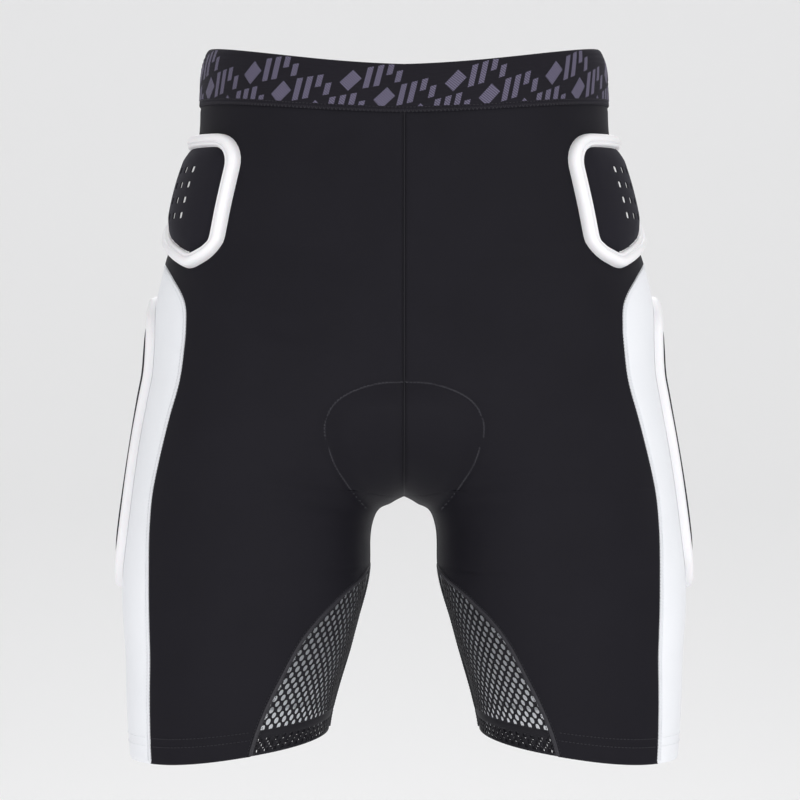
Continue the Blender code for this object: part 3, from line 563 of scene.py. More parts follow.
    def angle_at(self, across: Array, height: Array, front: bool) -> Array:
        """The angle where the form stands at a distance from the centre plane, on the front or the back.

        Args:
            across: distances from the centre plane.
            height: pattern heights.
            front: whether the front or the back is meant.

        Returns:
            The angle at each place.
        """
        start, end = self.centre_angles(height)
        near, far = (start, 130.0 + 0 * start) if front else (end, 230.0 + 0 * end)
        for _ in range(18):
            middle = (near + far) / 2
            z = self.level(middle, height)
            x = self.axis_x(z) - self.radius(middle, z) * np.cos(np.radians(middle))
            inner = x < across
            near, far = np.where(inner, middle, near), np.where(inner, far, middle)
        return (near + far) / 2


# ---------------------------------------------------------------- seam lines, as angle by station
@dataclass(frozen=True)
class Pattern:
    """Where the panels meet."""

    side_tip: float = height_of(1.515)
    mesh_tip: float = height_of(0.71)
    yoke_foot: float = height_of(0.86)
    mesh_front: Curve = Curve((
        (0.01, 76.1), (0.15, 70.6), (0.28, 65.1), (0.43, 58.2), (0.5, 53.0), (0.57, 45.7), (0.64, 34.5),
        (0.68, 20.0), (0.71, 4.0),
    ))
    side_front: Curve = Curve((
        (0.0, 133.0), (0.14, 132.6), (0.36, 133.4), (0.73, 135.5), (0.95, 134.7), (1.084, 131.8), (1.164, 129.7),
        (1.236, 127.6), (1.309, 128.5), (1.367, 131.2), (1.418, 136.5), (1.456, 146.4), (1.491, 160.9),
        (1.515, 180.0),
    ))
    side_rear: Curve = Curve((
        (0.86, 360.0), (0.93, 331.0), (1.03, 300.0), (1.08, 272.0), (1.18, 247.0), (1.3, 231.0), (1.41, 220.0),
        (1.47, 205.0), (1.515, 180.0),
    ))

    def mesh_rear(self, height: Array) -> Array:
        """The inseam: the net meets the white cloth a little behind the leg's inner side."""
        return 360 - 13.0 * np.clip((self.mesh_tip - height) / height_of(0.2), 0, 1) ** 0.5


# ---------------------------------------------------------------- relief of the worn cloth
@dataclass(frozen=True)
class Crease:
    """A soft fold in the cloth, between two places seen from the front or the back."""

    start: tuple[float, float]
    end: tuple[float, float]
    depth: float
    width: float
    front: bool = True

    def rise(self, x: Array, z: Array) -> Array:
        """How far the fold moves the cloth, a valley with a ridge beside it.

        Args:
            x: places across, the wearer's left positive.
            z: heights.

        Returns:
            The move outwards at each place.
        """
        a, b = np.array(self.start), np.array(self.end)
        along = b - a
        length = float(np.hypot(*along))
        t = ((x - a[0]) * along[0] + (z - a[1]) * along[1]) / length**2
        s = ((x - a[0]) * -along[1] + (z - a[1]) * along[0]) / length / self.width
        taper = smooth(t / 0.3) * smooth((1 - t) / 0.5)
        return self.depth * taper * (0.8 * np.exp(-((s - 1.7) ** 2) / 1.6) - np.exp(-s * s))


@dataclass
class Relief:
    """Everything that lifts or sinks the cloth off the bare form: folds, soft waves, the seat pad and the hems."""

    form: BodyForm
    pattern: Pattern
    seat_front: tuple[tuple[float, float], ...] = (
        (0.0, 0.2715), (0.014, 0.271), (0.028, 0.268), (0.041, 0.2625), (0.0495, 0.2555), (0.054, 0.247),
        (0.0556, 0.238), (0.0535, 0.227), (0.0490, 0.2145), (0.0430, 0.2035), (0.0350, 0.1915), (0.0275, 0.181),
    )
    seat_back: tuple[tuple[float, float], ...] = (
        (0.0, 0.290), (0.025, 0.288), (0.048, 0.280), (0.064, 0.266), (0.072, 0.248), (0.070, 0.228),
        (0.060, 0.208), (0.046, 0.193), (0.0275, 0.181),
    )
    seat_rise: float = 0.0045
    seat_run_in: float = 0.020
    groove: float = 0.0012
    groove_width: float = 0.0017
    hem_line: float = 0.0165
    creases: tuple[Crease, ...] = (
        Crease((-0.043, 0.199), (-0.118, 0.209), 0.0011, 0.0034),
        Crease((-0.033, 0.181), (-0.098, 0.190), 0.0009, 0.0040),
        Crease((0.046, 0.201), (0.112, 0.212), 0.0009, 0.0040),
        Crease((0.036, 0.184), (0.090, 0.189), 0.0007, 0.0036),
        Crease((-0.060, 0.300), (-0.125, 0.322), 0.0008, 0.0070),
        Crease((0.065, 0.306), (0.128, 0.326), 0.0008, 0.0075),
        Crease((-0.075, 0.120), (-0.135, 0.098), 0.0007, 0.0080),
        Crease((0.078, 0.112), (0.138, 0.096), 0.0007, 0.0080),
        Crease((-0.028, 0.455), (-0.080, 0.425), 0.0006, 0.0060),
        Crease((0.030, 0.452), (0.074, 0.430), 0.0005, 0.0060),
        Crease((-0.030, 0.190), (-0.130, 0.182), 0.0016, 0.0060, front=False),
        Crease((0.030, 0.190), (0.128, 0.184), 0.0016, 0.0060, front=False),
        Crease((-0.035, 0.168), (-0.110, 0.150), 0.0011, 0.0060, front=False),
        Crease((0.036, 0.166), (0.108, 0.152), 0.0011, 0.0060, front=False),
        Crease((-0.020, 0.330), (-0.085, 0.352), 0.0009, 0.0080, front=False),
        Crease((0.022, 0.328), (0.088, 0.348), 0.0009, 0.0080, front=False),
    )

    def contour(self, half: tuple[tuple[float, float], ...]) -> Array:
        """A finely stepped seat pad edge of the left half, from the centre plane down."""
        points = np.array(half)
        t = np.arange(len(points))
        fine = np.linspace(0, len(points) - 1, 12 * len(points))
        before = np.concatenate([[points[1] * [-1, 1]], points[:-1]])
        after = np.concatenate([points[1:], [2 * points[-1] - points[-2]]])
        tangent = (after - before) / 2
        i = np.clip(fine.astype(int), 0, len(points) - 2)
        s = (fine - t[i])[:, None]
        return (
            (1 + 2 * s) * (1 - s) ** 2 * points[i]
            + s * (1 - s) ** 2 * tangent[i]
            + s * s * (3 - 2 * s) * points[i + 1]
            + s * s * (s - 1) * tangent[i + 1]
        )

    @functools.cached_property
    def edges(self) -> tuple[Array, Array]:
        """The seat pad's edge lines, in front and behind."""
        return self.contour(self.seat_front), self.contour(self.seat_back)

    def seat(self, x: Array, z: Array, edge: Array) -> Array:
        """The rise over the seat pad and the sewn groove round it.

        Args:
            x: distances from the centre plane.
            z: heights.
            edge: the pad's edge line.

        Returns:
            The move outwards at each place.
        """
        spots = np.stack([x.ravel(), z.ravel()], axis=1)
        loop = np.concatenate([edge, [[0.012, 0.160], [-0.012, 0.160]], (edge * [-1, 1])[::-1]])
        away = distance_to(spots, edge, closed=False).reshape(x.shape)
        inside = contains(spots, loop).reshape(x.shape)
        fade = smooth((z - 0.176) / 0.012)
        rise = np.where(inside, self.seat_rise * (1 - (1 - smooth(away / self.seat_run_in)) ** 1.5), 0.0)
        return fade * (rise - self.groove * np.exp(-((away / self.groove_width) ** 2)))

    def __call__(self, point: Array, height: Array) -> Array:
        """The cloth's move off the form.

        Args:
            point: places on the form, in the frame's coordinates.
            height: their pattern heights.

        Returns:
            The move outwards at each place.
        """
        x, y, z = point[..., 0], point[..., 1] - self.form.shift, point[..., 2]
        crotch, depth = self.form.crotch
        front = smooth((depth + 0.012 - y) / 0.024)
        near = (z > 0.165) & (z < 0.300) & (np.abs(x) < 0.085)
        moved = np.zeros_like(x)
        if near.any():
            ahead = self.seat(np.abs(x[near]), z[near], self.edges[0])
            behind = self.seat(np.abs(x[near]), z[near], self.edges[1])
            moved[near] = front[near] * ahead + (1 - front[near]) * behind
        for crease in self.creases:
            share = front if crease.front else 1 - front
            moved = moved + share * crease.rise(x, z)
        calm = smooth((SIDE_LENGTH - BAND_WIDTH - height) / 0.05) * smooth(height / 0.03)
        waves = (
            np.sin(2 * np.pi * (x / 0.131 + z / 0.173 + 0.11) + 3 * y)
            + 0.8 * np.sin(2 * np.pi * (y / 0.149 - z / 0.117 + 0.37))
            + 0.6 * np.sin(2 * np.pi * (x / 0.083 - z / 0.211 + y / 0.19 + 0.71))
        )
        moved = moved + 0.00030 * calm * waves
        return moved - 0.00025 * np.exp(-(((height - self.hem_line) / 0.0012) ** 2)) * (height > 0.004)


# ---------------------------------------------------------------- flat outlines
def distance_to(spots: Array, outline: Outline, closed: bool = True) -> Array:
    """Distance from flat spots to an outline's edges.

    Args:
        spots: flat places, one a row.
        outline: the outline's points.
        closed: whether its last point joins its first.

    Returns:
        One distance a spot.
    """
    a = outline if closed else outline[:-1]
    b = np.roll(outline, -1, axis=0) if closed else outline[1:]
    along = b - a
    size = np.maximum((along * along).sum(axis=1), 1e-18)
    best = np.full(len(spots), np.inf)
    for start, step, square in zip(a, along, size):
        t = np.clip(((spots - start) @ step) / square, 0, 1)
        best = np.minimum(best, np.linalg.norm(start + t[:, None] * step - spots, axis=1))
    return best


def contains(spots: Array, outline: Outline) -> Array:
    """Whether each flat spot lies inside a closed outline."""
    inside = np.zeros(len(spots), bool)
    for a, b in zip(outline, np.roll(outline, -1, axis=0)):
        if a[1] == b[1]:
            continue
        crosses = (a[1] > spots[:, 1]) != (b[1] > spots[:, 1])
        inside ^= crosses & (spots[:, 0] < (b[0] - a[0]) * (spots[:, 1] - a[1]) / (b[1] - a[1]) + a[0])
    return inside


def rounded(corners: tuple[tuple[float, float, float], ...], step: float, arc_steps: int = 9) -> Outline:
    """A closed outline through straight edges with arcs.

    Args:
        corners: across, up and radius of each corner.
        step: the longest edge.
        arc_steps: edges in each corner's arc.

    Returns:
        The outline's points, anticlockwise.
    """
    outline = []
    for i, (x, y, r) in enumerate(corners):
        here = np.array([x, y])
        before, after = unit(np.array([corners[i - 1][:2], corners[(i + 1) % len(corners)][:2]]) - here)
        half = math.acos(float(np.clip(before @ after, -1, 1))) / 2
        centre = here + unit(before + after) * r / math.sin(half)
        first = here + before * r / math.tan(half) - centre
        last = here + after * r / math.tan(half) - centre
        a0, a1 = math.atan2(first[1], first[0]), math.atan2(last[1], last[0])
        turn = (a1 - a0 + math.pi) % (2 * math.pi) - math.pi
        for t in np.linspace(0, 1, arc_steps + 1):
            outline.append(centre + r * np.array([math.cos(a0 + turn * t), math.sin(a0 + turn * t)]))
    return stepped(np.array(outline), step)


def stepped(outline: Outline, step: float) -> Outline:
    """The outline with points added so that no edge is longer than the step."""
    made = []
    for a, b in zip(outline, np.roll(outline, -1, axis=0)):
        parts = max(1, math.ceil(np.linalg.norm(b - a) / step))
        made += [a + (b - a) * k / parts for k in range(parts)]
    return np.array(made)


def inset(outline: Outline, distance: float) -> Outline:
    """An anticlockwise outline moved inwards."""
    ahead = unit(np.roll(outline, -1, axis=0) - outline)
    behind = unit(outline - np.roll(outline, 1, axis=0))
    normal = ahead + behind
    normal = unit(np.stack([-normal[:, 1], normal[:, 0]], axis=1))
    stretch = np.sqrt(np.maximum((1 + (ahead * behind).sum(axis=1)) / 2, 0.25))
    return outline + normal * (distance / stretch)[:, None]


def below_line(outline: Outline, axis: int, limit: float, keep_less: bool) -> Outline:
    """The part of a convex outline on one side of a level or upright line."""
    made = []
    sign = 1 if keep_less else -1
    for a, b in zip(outline, np.roll(outline, -1, axis=0)):
        ins = sign * (limit - a[axis]) >= 0
        if ins:
            made.append(a)
        if ins != (sign * (limit - b[axis]) >= 0):
            made.append(a + (b - a) * (limit - a[axis]) / (b[axis] - a[axis]))
    return np.array(made).reshape(-1, 2)


def triangulated(outline: Outline, holes: list[Outline], step: float) -> tuple[Array, list[list[int]]]:
    """Fills a flat outline with small triangles.

    Args:
        outline: the outer edge.
        holes: closed outlines cut out of it.
        step: about the side of a triangle.

    Returns:
        Flat spots and triangles.
    """
    flat = [outline]
    edges = [(i, (i + 1) % len(outline)) for i in range(len(outline))]
    first = len(outline)
    for hole in holes:
        edges += [(first + i, first + (i + 1) % len(hole)) for i in range(len(hole))]
        first += len(hole)
        flat.append(hole)
    low, high = outline.min(axis=0), outline.max(axis=0)
    columns, rows = (np.arange(low[axis] + step / 2, high[axis], step) for axis in (0, 1))
    across, up = np.meshgrid(columns, rows)
    across[1::2] += step / 2
    fill = np.stack([across.ravel(), up.ravel()], axis=1)
    keep = contains(fill, outline) & (distance_to(fill, outline) > step * 0.45)
    for hole in holes:
        keep &= ~contains(fill, hole) & (distance_to(fill, hole) > step * 0.35)
    flat.append(fill[keep])
    spots, _, triangles, *_ = delaunay_2d_cdt([tuple(p) for p in np.concatenate(flat)], edges, [], 0, 1e-8)
    spots = np.array([tuple(v) for v in spots])
    middles = np.array([spots[list(t)].mean(axis=0) for t in triangles])
    keep = contains(middles, outline)
    for hole in holes:
        keep &= ~contains(middles, hole)
    return spots, [list(t) for t, kept in zip(triangles, keep) if kept]


# ---------------------------------------------------------------- mesh helpers
def shell(inside: Array, outside: Array, ring: bool = False) -> tuple[Array, list[list[int]]]:
    """The thin closed body between two equal grids of points.

    Args:
        inside: rows of points.
        outside: rows of points, one for each inside.
        ring: whether each row's ends join.

    Returns:
        Points and faces.
    """
    rows, columns = inside.shape[:2]
    half = rows * columns
    index = np.arange(half).reshape(rows, columns)
    if ring:
        index = np.concatenate([index, index[:, :1]], axis=1)
    quads = np.stack([index[:-1, :-1], index[:-1, 1:], index[1:, 1:], index[1:, :-1]], axis=-1).reshape(-1, 4)
    faces = quads.tolist() + (quads[:, ::-1] + half).tolist()
    runs = [index[0], index[-1][::-1]] + ([] if ring else [index[::-1, 0], index[:, -1]])
    for run in runs:
        faces += np.stack([run[1:], run[:-1], run[:-1] + half, run[1:] + half], axis=-1).tolist()
    return np.concatenate([inside.reshape(-1, 3), outside.reshape(-1, 3)]), faces


def closed_plate(lower: Array, upper: Array, faces: list[list[int]]) -> tuple[Array, list[list[int]]]:
    """The closed body between two equal sets of points with the same faces.

    Args:
        lower: points of the inner side.
        upper: points of the outer side.
        faces: the faces of either side.

    Returns:
        Points and faces.
    """
    count = len(lower)
    used: dict[tuple[int, int], tuple[int, int]] = {}
    for face in faces:
        for a, b in zip(face, face[1:] + face[:1]):
            key = (min(a, b), max(a, b))
            if used.pop(key, None) is None:
                used[key] = (a, b)
    made = [[count + i for i in face] for face in faces] + [face[::-1] for face in faces]
    made += [[a, b, count + b, count + a] for a, b in used.values()]
    return np.concatenate([lower, upper]), made


def tubes(starts: Array, ends: Array, normals: Array, thick: float, arch: float) -> tuple[Array, list[list[int]]]:
    """Short arched threads, one from each start to its end.

    Args:
        starts: where each thread comes up.
        ends: where it goes down.
        normals: the outward direction at each.
        thick: the thread's radius.
        arch: how far it stands above its ends.

    Returns:
        Points and faces.
    """
    around = np.linspace(0, 2 * np.pi, 5, endpoint=False)
    along = unit(ends - starts)
    side = unit(np.cross(along, normals))
    up = np.cross(side, along)
    rings = []
    for t, swell, lift in ((0.0, 0.45, -0.6), (0.22, 1.0, 0.75), (0.5, 1.05, 1.0), (0.78, 1.0, 0.75), (1.0, 0.45, -0.6)):
        middle = starts + (ends - starts) * t + normals * arch * lift
        spokes = side[:, None] * np.cos(around)[None, :, None] + up[:, None] * np.sin(around)[None, :, None]
        rings.append(middle[:, None] + spokes * thick * swell)
    points = np.stack(rings, axis=1)
    count, levels, sides = points.shape[:3]
    base = np.arange(count)[:, None, None] * levels * sides
    ring, spoke = np.meshgrid(np.arange(levels - 1), np.arange(sides), indexing="ij")
    a, b = ring * sides + spoke, ring * sides + (spoke + 1) % sides
    quads = (base[..., None] + np.stack([a, b, b + sides, a + sides], axis=-1)).reshape(-1, 4)
    caps = np.stack([np.arange(sides)[::-1], (levels - 1) * sides + np.arange(sides)])
    caps = (np.arange(count)[:, None, None] * levels * sides + caps).reshape(-1, sides)
    return points.reshape(-1, 3), quads.tolist() + caps.tolist()


def joined(*parts: tuple[Array, list[list[int]]]) -> tuple[Array, list[list[int]]]:
    """Several bodies as one set of points and faces."""
    points, faces, first = [], [], 0
    for spots, added in parts:
        points.append(spots)
        faces += [[first + i for i in face] for face in added]
        first += len(spots)
    return np.concatenate(points), faces


def add_piece(
    name: str,
    body: tuple[Array, list[list[int]]],
    finish: Finish,
    nodes: tuple[str, ...] = (),
    flat: Array | None = None,
    sharp: float = 50.0,
) -> bpy.types.Object:
    """Makes a piece that rides on the garment and stands for its solids.

    Args:
        name: the piece's name.
        body: its points and faces.
        finish: what it is made of.
        nodes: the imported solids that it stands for.
        flat: each point's place along the cloth, in metres.
        sharp: edges sharper than this many degrees stay crisp.

    Returns:
        The new object.
    """
    points, faces = body
    mesh = bpy.data.meshes.new(name)
    mesh.from_pydata(points.tolist(), [], faces)
    if flat is None:
        flat = np.stack([np.hypot(points[:, 0], points[:, 1]), points[:, 2]], axis=1)
    corner = np.empty(len(mesh.loops), np.int32)
    mesh.loops.foreach_get("vertex_index", corner)
    mesh.uv_layers.new(name=WEAVE_MAP).uv.foreach_set("vector", flat[corner].astype(np.float32).ravel())
    work = bmesh.new()
    work.from_mesh(mesh)
    bmesh.ops.recalc_face_normals(work, faces=work.faces)
    if work.calc_volume(signed=True) < 0:
        bmesh.ops.reverse_faces(work, faces=work.faces)
    work.to_mesh(mesh)
    work.free()
    mesh.shade_smooth()
    mesh.set_sharp_from_angle(angle=math.radians(sharp))
    mesh.materials.append(material_of(finish))
    made = bpy.data.objects.new(name, mesh)
    bpy.context.scene.collection.objects.link(made)
    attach(made, BODY)
    if nodes:
        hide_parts(*nodes)
    LOG.info("%s: %d faces, %s", name, len(faces), finish.name)
    return made


# ---------------------------------------------------------------- the tailor's table
@dataclass
class Tailor:
    """Puts flat or pattern places onto the worn form, with the cloth's relief."""

    form: BodyForm
    pattern: Pattern
    relief: Relief

    def lay(self, angle: Array, height: Array, offset: Array, side: Side) -> Array:
        """Points on the cloth.

        Args:
            angle: pattern angles.
            height: pattern heights.
            offset: how far out of the cloth's inner face each point lies.
            side: the half of the garment.

        Returns:
            The points.
        """
        base, normal = self.form.spot(angle, height, side)
        moved = self.relief(base, np.broadcast_to(height, base.shape[:-1])) + offset
        return base + normal * moved[..., None]

    @functools.cached_property
    def rows(self) -> Array:
        """Heights of every panel's rows, closer together round the crotch and at each seam's corner."""
        crotch = self.form.crotch[0]
        fixed = [0.0, 0.0006, 0.0016, self.pattern.mesh_tip, self.pattern.yoke_foot, crotch]
        fixed += [self.pattern.side_tip, SIDE_LENGTH - BAND_WIDTH]
        fixed += [crotch + d for d in (0.0004, 0.0012, 0.0024, 0.0040)]
        fixed += [self.pattern.yoke_foot + d for d in (0.0008, 0.0018, 0.0032)]
        fixed += [self.pattern.side_tip - d for d in (0.0006, 0.0014)]
        evenly = np.arange(0.003, SIDE_LENGTH - BAND_WIDTH, 0.0026)
        loose = [h for h in evenly if min(abs(h - f) for f in fixed) > 0.0007]
        return np.array(sorted(fixed + loose))

    def path(self, angle: Callable[[Array], Array], low: float, high: float, side: Side, count: int = 260) -> "Path":
        """A line on the cloth that follows a seam.

        Args:
            angle: the seam's angle by height.
            low: where the line starts.
            high: where it ends.
            side: the half of the garment.
            count: how finely it is stepped.

        Returns:
            The line.
        """
        heights = low + (high - low) * np.linspace(0, 1, count)
        return self.drawn(angle(heights), heights, side)

    def drawn(self, angles: Array, heights: Array, side: Side, offset: float = FABRIC) -> "Path":
        """A line on the cloth through pattern places."""
        return Path(self.lay(angles, heights, offset, side), self.form.spot(angles, heights, side)[1])


@dataclass
class Path:
    """A line on the cloth with its outward directions."""

    points: Array
    normals: Array

    @functools.cached_property
    def run(self) -> Array:
        """Length along the line at each of its points."""
        return np.concatenate([[0], np.cumsum(np.linalg.norm(np.diff(self.points, axis=0), axis=1))])

    def at(self, where: Array, across: Array | float = 0.0, up: Array | float = 0.0) -> tuple[Array, Array]:
        """Places along the line, moved across it and up off the cloth.

        Args:
            where: lengths along the line.
            across: how far to its side.
            up: how far out of the cloth.

        Returns:
            The places and the outward directions there.
        """
        where = np.clip(where, 0, self.run[-1])
        point, normal, along = (
            np.stack([np.interp(where, self.run, table[:, i]) for i in range(3)], axis=-1)
            for table in (self.points, self.normals, np.gradient(self.points, self.run, axis=0))
        )
        normal = unit(normal)
        side = unit(np.cross(along, normal))
        move = side * np.asarray(across)[..., None] + normal * np.asarray(up)[..., None]
        return point + move, normal

    def ribbon(self, width: float, thick: float, step: float = 0.0025) -> tuple[Array, list[list[int]]]:
        """A flat band of thread along the line, higher in its middle.

        Args:
            width: across the line.
            thick: how far it stands above the cloth.
            step: from one section to the next.

        Returns:
            Points and faces.
        """
        where = np.linspace(0, self.run[-1], max(3, int(self.run[-1] / step)))
        across = np.array([-0.5, -0.42, -0.2, 0.0, 0.2, 0.42, 0.5]) * width
        up = np.array([0.0, 0.75, 0.95, 1.0, 0.95, 0.75, 0.0]) * thick
        top = np.stack([self.at(where, a, u)[0] for a, u in zip(across, up)], axis=1)
        bottom = np.stack([self.at(where, a, -0.0003)[0] for a in across], axis=1)
        return shell(bottom, top)

    def dashes(self, pitch: float, share: float, across: float, thick: float, arch: float) -> tuple[Array, list]:
        """A row of running stitches beside the line.

        Args:
            pitch: from one stitch to the next.
            share: the seen share of the pitch.
            across: how far to the line's side.
            thick: the thread's radius.
            arch: how far each stitch stands off the cloth.

        Returns:
            Points and faces.
        """
        where = np.arange(pitch / 2, self.run[-1] - pitch, pitch)
        starts, normals = self.at(where, across)
        ends = self.at(where + pitch * share, across)[0]
        return tubes(starts, ends, normals, thick, arch)

    def zigzag(self, pitch: float, width: float, thick: float, arch: float, across: float = 0.0) -> tuple[Array, list]:
        """A zigzag of stitches over the line.

        Args:
            pitch: from one turn to the next.
            width: from one side's turns to the other's.
            thick: the thread's radius.
            arch: how far each stitch stands off the cloth.
            across: how far the zigzag's middle is to the line's side.

        Returns:
            Points and faces.
        """
        where = np.arange(pitch / 2, self.run[-1] - pitch, pitch)
        sway = np.where(np.arange(len(where)) % 2, width / 2, -width / 2)
        starts, normals = self.at(where, across + sway)
        ends = self.at(where + pitch, across - sway)[0]
        return tubes(starts, ends, normals, thick, arch)


# ---------------------------------------------------------------- sub-assemblies
def declare_sheet(width: float, length: float, area: float) -> None:
    """Rounds the size that a sheet of cloth was cut to; the rounded values are not kept or passed on.

    Args:
        width: the cut's greatest width.
        length: the cut's length.
        area: the cut's area.
    """
    width, length, area = round(width, 4), round(length, 4), round(area, 5)


@dataclass
class Panels:
    """The body cloth: black front and seat, and the white cloth round the side and the back of the thigh."""

    tailor: Tailor
    stretch: float = 1.10  # the worn cloth's girth over the cut one
    edge_run: float = 0.0022
    edge_share: float = 0.45
    columns: int = 64

    def outline(self, kind: str) -> tuple[float, float, Callable, Callable]:
        """The foot, the top and the two seam lines of a panel.

        Args:
            kind: front, side or rear.

        Returns:
            Two heights, and two functions from height to angle.
        """
        p, form = self.tailor.pattern, self.tailor.form
        band_foot = SIDE_LENGTH - BAND_WIDTH
        if kind == "front":
            return (
                0.0,
                band_foot,
                lambda h: p.mesh_front(h) if h < p.mesh_tip else float(form.centre_angles(h)[0]),
                lambda h: p.side_front(h) if h < p.side_tip else 180.0,
            )
        if kind == "side":
            return (
                0.0,
                p.side_tip - 0.0005,
                p.side_front,
                lambda h: p.mesh_rear(h) if h < p.mesh_tip else (p.side_rear(h) if h > p.yoke_foot else 360.0),
            )
        return (
            p.yoke_foot + 0.0004,
            band_foot,
            lambda h: p.side_rear(h) if h < p.side_tip else 180.0,
            lambda h: float(form.centre_angles(h)[1]),
        )

    def build(self, kind: str, finish: Finish, side: Side) -> bpy.types.Object:
        """Makes one panel.

        Args:
            kind: front, side or rear.
            finish: its cloth.
            side: the half of the garment.

        Returns:
            The panel.
        """
        low, high, start, end = self.outline(kind)
        heights = self.tailor.rows
        between = heights[(heights > low + 3e-4) & (heights < high - 3e-4)]
        heights = np.unique(np.concatenate([[low], between, [high]]))
        middle = np.linspace(0.04, 0.96, self.columns)
        share = np.concatenate([[0, 0.004, 0.012, 0.024], middle, [0.976, 0.988, 0.996, 1]])
        first = np.array([start(h) for h in heights])
        last = np.array([end(h) for h in heights])
        angles = first[:, None] + (last - first)[:, None] * share
        up = np.repeat(heights[:, None], len(share), axis=1)
        inside = self.tailor.lay(angles, up, 0.0, side)
        _, normal = self.tailor.form.spot(angles, up, side)
        lengths = np.cumsum(np.linalg.norm(np.diff(inside, axis=1), axis=2), axis=1)
        arc = np.concatenate([np.zeros((len(heights), 1)), lengths], axis=1)
        near = np.minimum(arc, arc[:, -1:] - arc)
        near = np.minimum(near, np.minimum(up - low, high - up))
        thick = FABRIC * (self.edge_share + (1 - self.edge_share) * smooth(near / self.edge_run))
        outside = inside + normal * thick[..., None]
        middle = arc - arc[:, -1:] / 2
        flat = np.stack([middle, up], axis=-1).reshape(-1, 2)
        names = {"front": "front_panel", "side": "side_panel", "rear": "rear_panel"}
        made = add_piece(
            f"{kind}_cloth_{side.tag}",
            shell(inside, outside),
            finish,
            (f"{names[kind]}_{side.tag}",),
            np.concatenate([flat, flat]),
        )
        worn = float(np.trapz(arc[:, -1], heights))
        declare_sheet(arc[:, -1].max() / self.stretch, high - low, worn / self.stretch)
        return made


@dataclass
class Net:
    """The open net inside each thigh, doubled at its hem."""

    tailor: Tailor
    across: float = 0.0052  # from hole to hole
    up: float = 0.0043  # from row to row
    lean: float = 0.14  # how far the holes lean inwards for each length up
    hole: tuple[float, float] = (0.00145, 0.00235)
    thick: float = 0.0007
    under: float = 0.0045  # how far it runs on under the front panel and the inseam
    reach: float = 0.0700  # of the leg, for turning lengths round it into angles

    def cells(self, foot: float, top: float, phase: float, rear: float) -> tuple[Array, list[list[int]]]:
        """The net laid flat: each cell is a six-sided strip of yarn round an oval hole.

        Args:
            foot: where the rows start.
            top: where they end.
            phase: how far the lattice is moved round the leg.
            rear: how far the net runs past the inseam.

        Returns:
            Flat places, round the leg and up, and faces.
        """
        p = self.tailor.pattern
        six = np.array([(0, 2 / 3), (-0.5, 1 / 3), (-0.5, -1 / 3), (0, -2 / 3), (0.5, -1 / 3), (0.5, 1 / 3)])
        six = six * [self.across, self.up]
        ring = np.concatenate([[a, a + (b - a) / 2] for a, b in zip(six, np.roll(six, -1, axis=0))])
        turn = np.arctan2(ring[:, 1], ring[:, 0])
        oval = np.stack([self.hole[0] * np.cos(turn), self.hole[1] * np.sin(turn)], axis=1)
        points, faces = [], []
        count = len(ring)
        for j in range(int((top - foot) / self.up) + 1):
            v = foot + (j + 2 / 3) * self.up
            if v > top:
                break
            low = math.radians(float(p.mesh_rear(v)) - 360) * self.reach - rear
            high = math.radians(float(p.mesh_front(v))) * self.reach + self.under
            drift = (j % 2) / 2 * self.across - self.lean * v + phase
            for i in range(math.ceil((low - drift) / self.across), math.floor((high - drift) / self.across) + 1):
                wobble = 0.05 * math.sin(12.9898 * i + 78.233 * j)
                first = len(points) * count
                centre = np.array([i * self.across + drift, v])
                for shape, scale in ((ring, 1.0), (oval, 1 + wobble)):
                    spots = shape * scale
                    spots = spots - np.stack([self.lean * spots[:, 1], 0 * spots[:, 1]], axis=1)
                    points.append(centre + spots)
                for k in range(count):
                    m = (k + 1) % count
                    faces.append([first + k, first + m, first + count + m, first + count + k])
        flat = np.concatenate(points)
        keys = np.round(flat / 2e-5).astype(int)
        _, kept, order = np.unique(keys, axis=0, return_index=True, return_inverse=True)
        order = order.ravel()
        return flat[kept], [[int(order[i]) for i in face] for face in faces]

    def build(
        self, name: str, node: str, side: Side, foot: float, top: float, depth: float, phase: float, share: float
    ) -> bpy.types.Object:
        """Makes one layer of net.

        Args:
            name: the piece's name.
            node: the solid that it stands for.
            side: the half of the garment.
            foot: where it starts.
            top: where it ends.
            depth: how far inside the front panel's inner face it lies.
            phase: how far its lattice is moved.
            share: the yarn's share of the cut's width and length.

        Returns:
            The net.
        """
        flat, faces = self.cells(foot, top, phase, 0.002)
        angle = np.degrees(flat[:, 0] / self.reach)
        lower = self.tailor.lay(angle, flat[:, 1], -depth - self.thick, side)
        upper = self.tailor.lay(angle, flat[:, 1], -depth, side)
        both = np.concatenate([flat, flat])
        made = add_piece(name, closed_plate(lower, upper, faces), CLOTHES.net, (node,), both, 60)
        wide, tall = np.ptp(flat[:, 0] + self.lean * flat[:, 1]), np.ptp(flat[:, 1])
        declare_sheet(wide, tall, share * wide * tall)
        return made


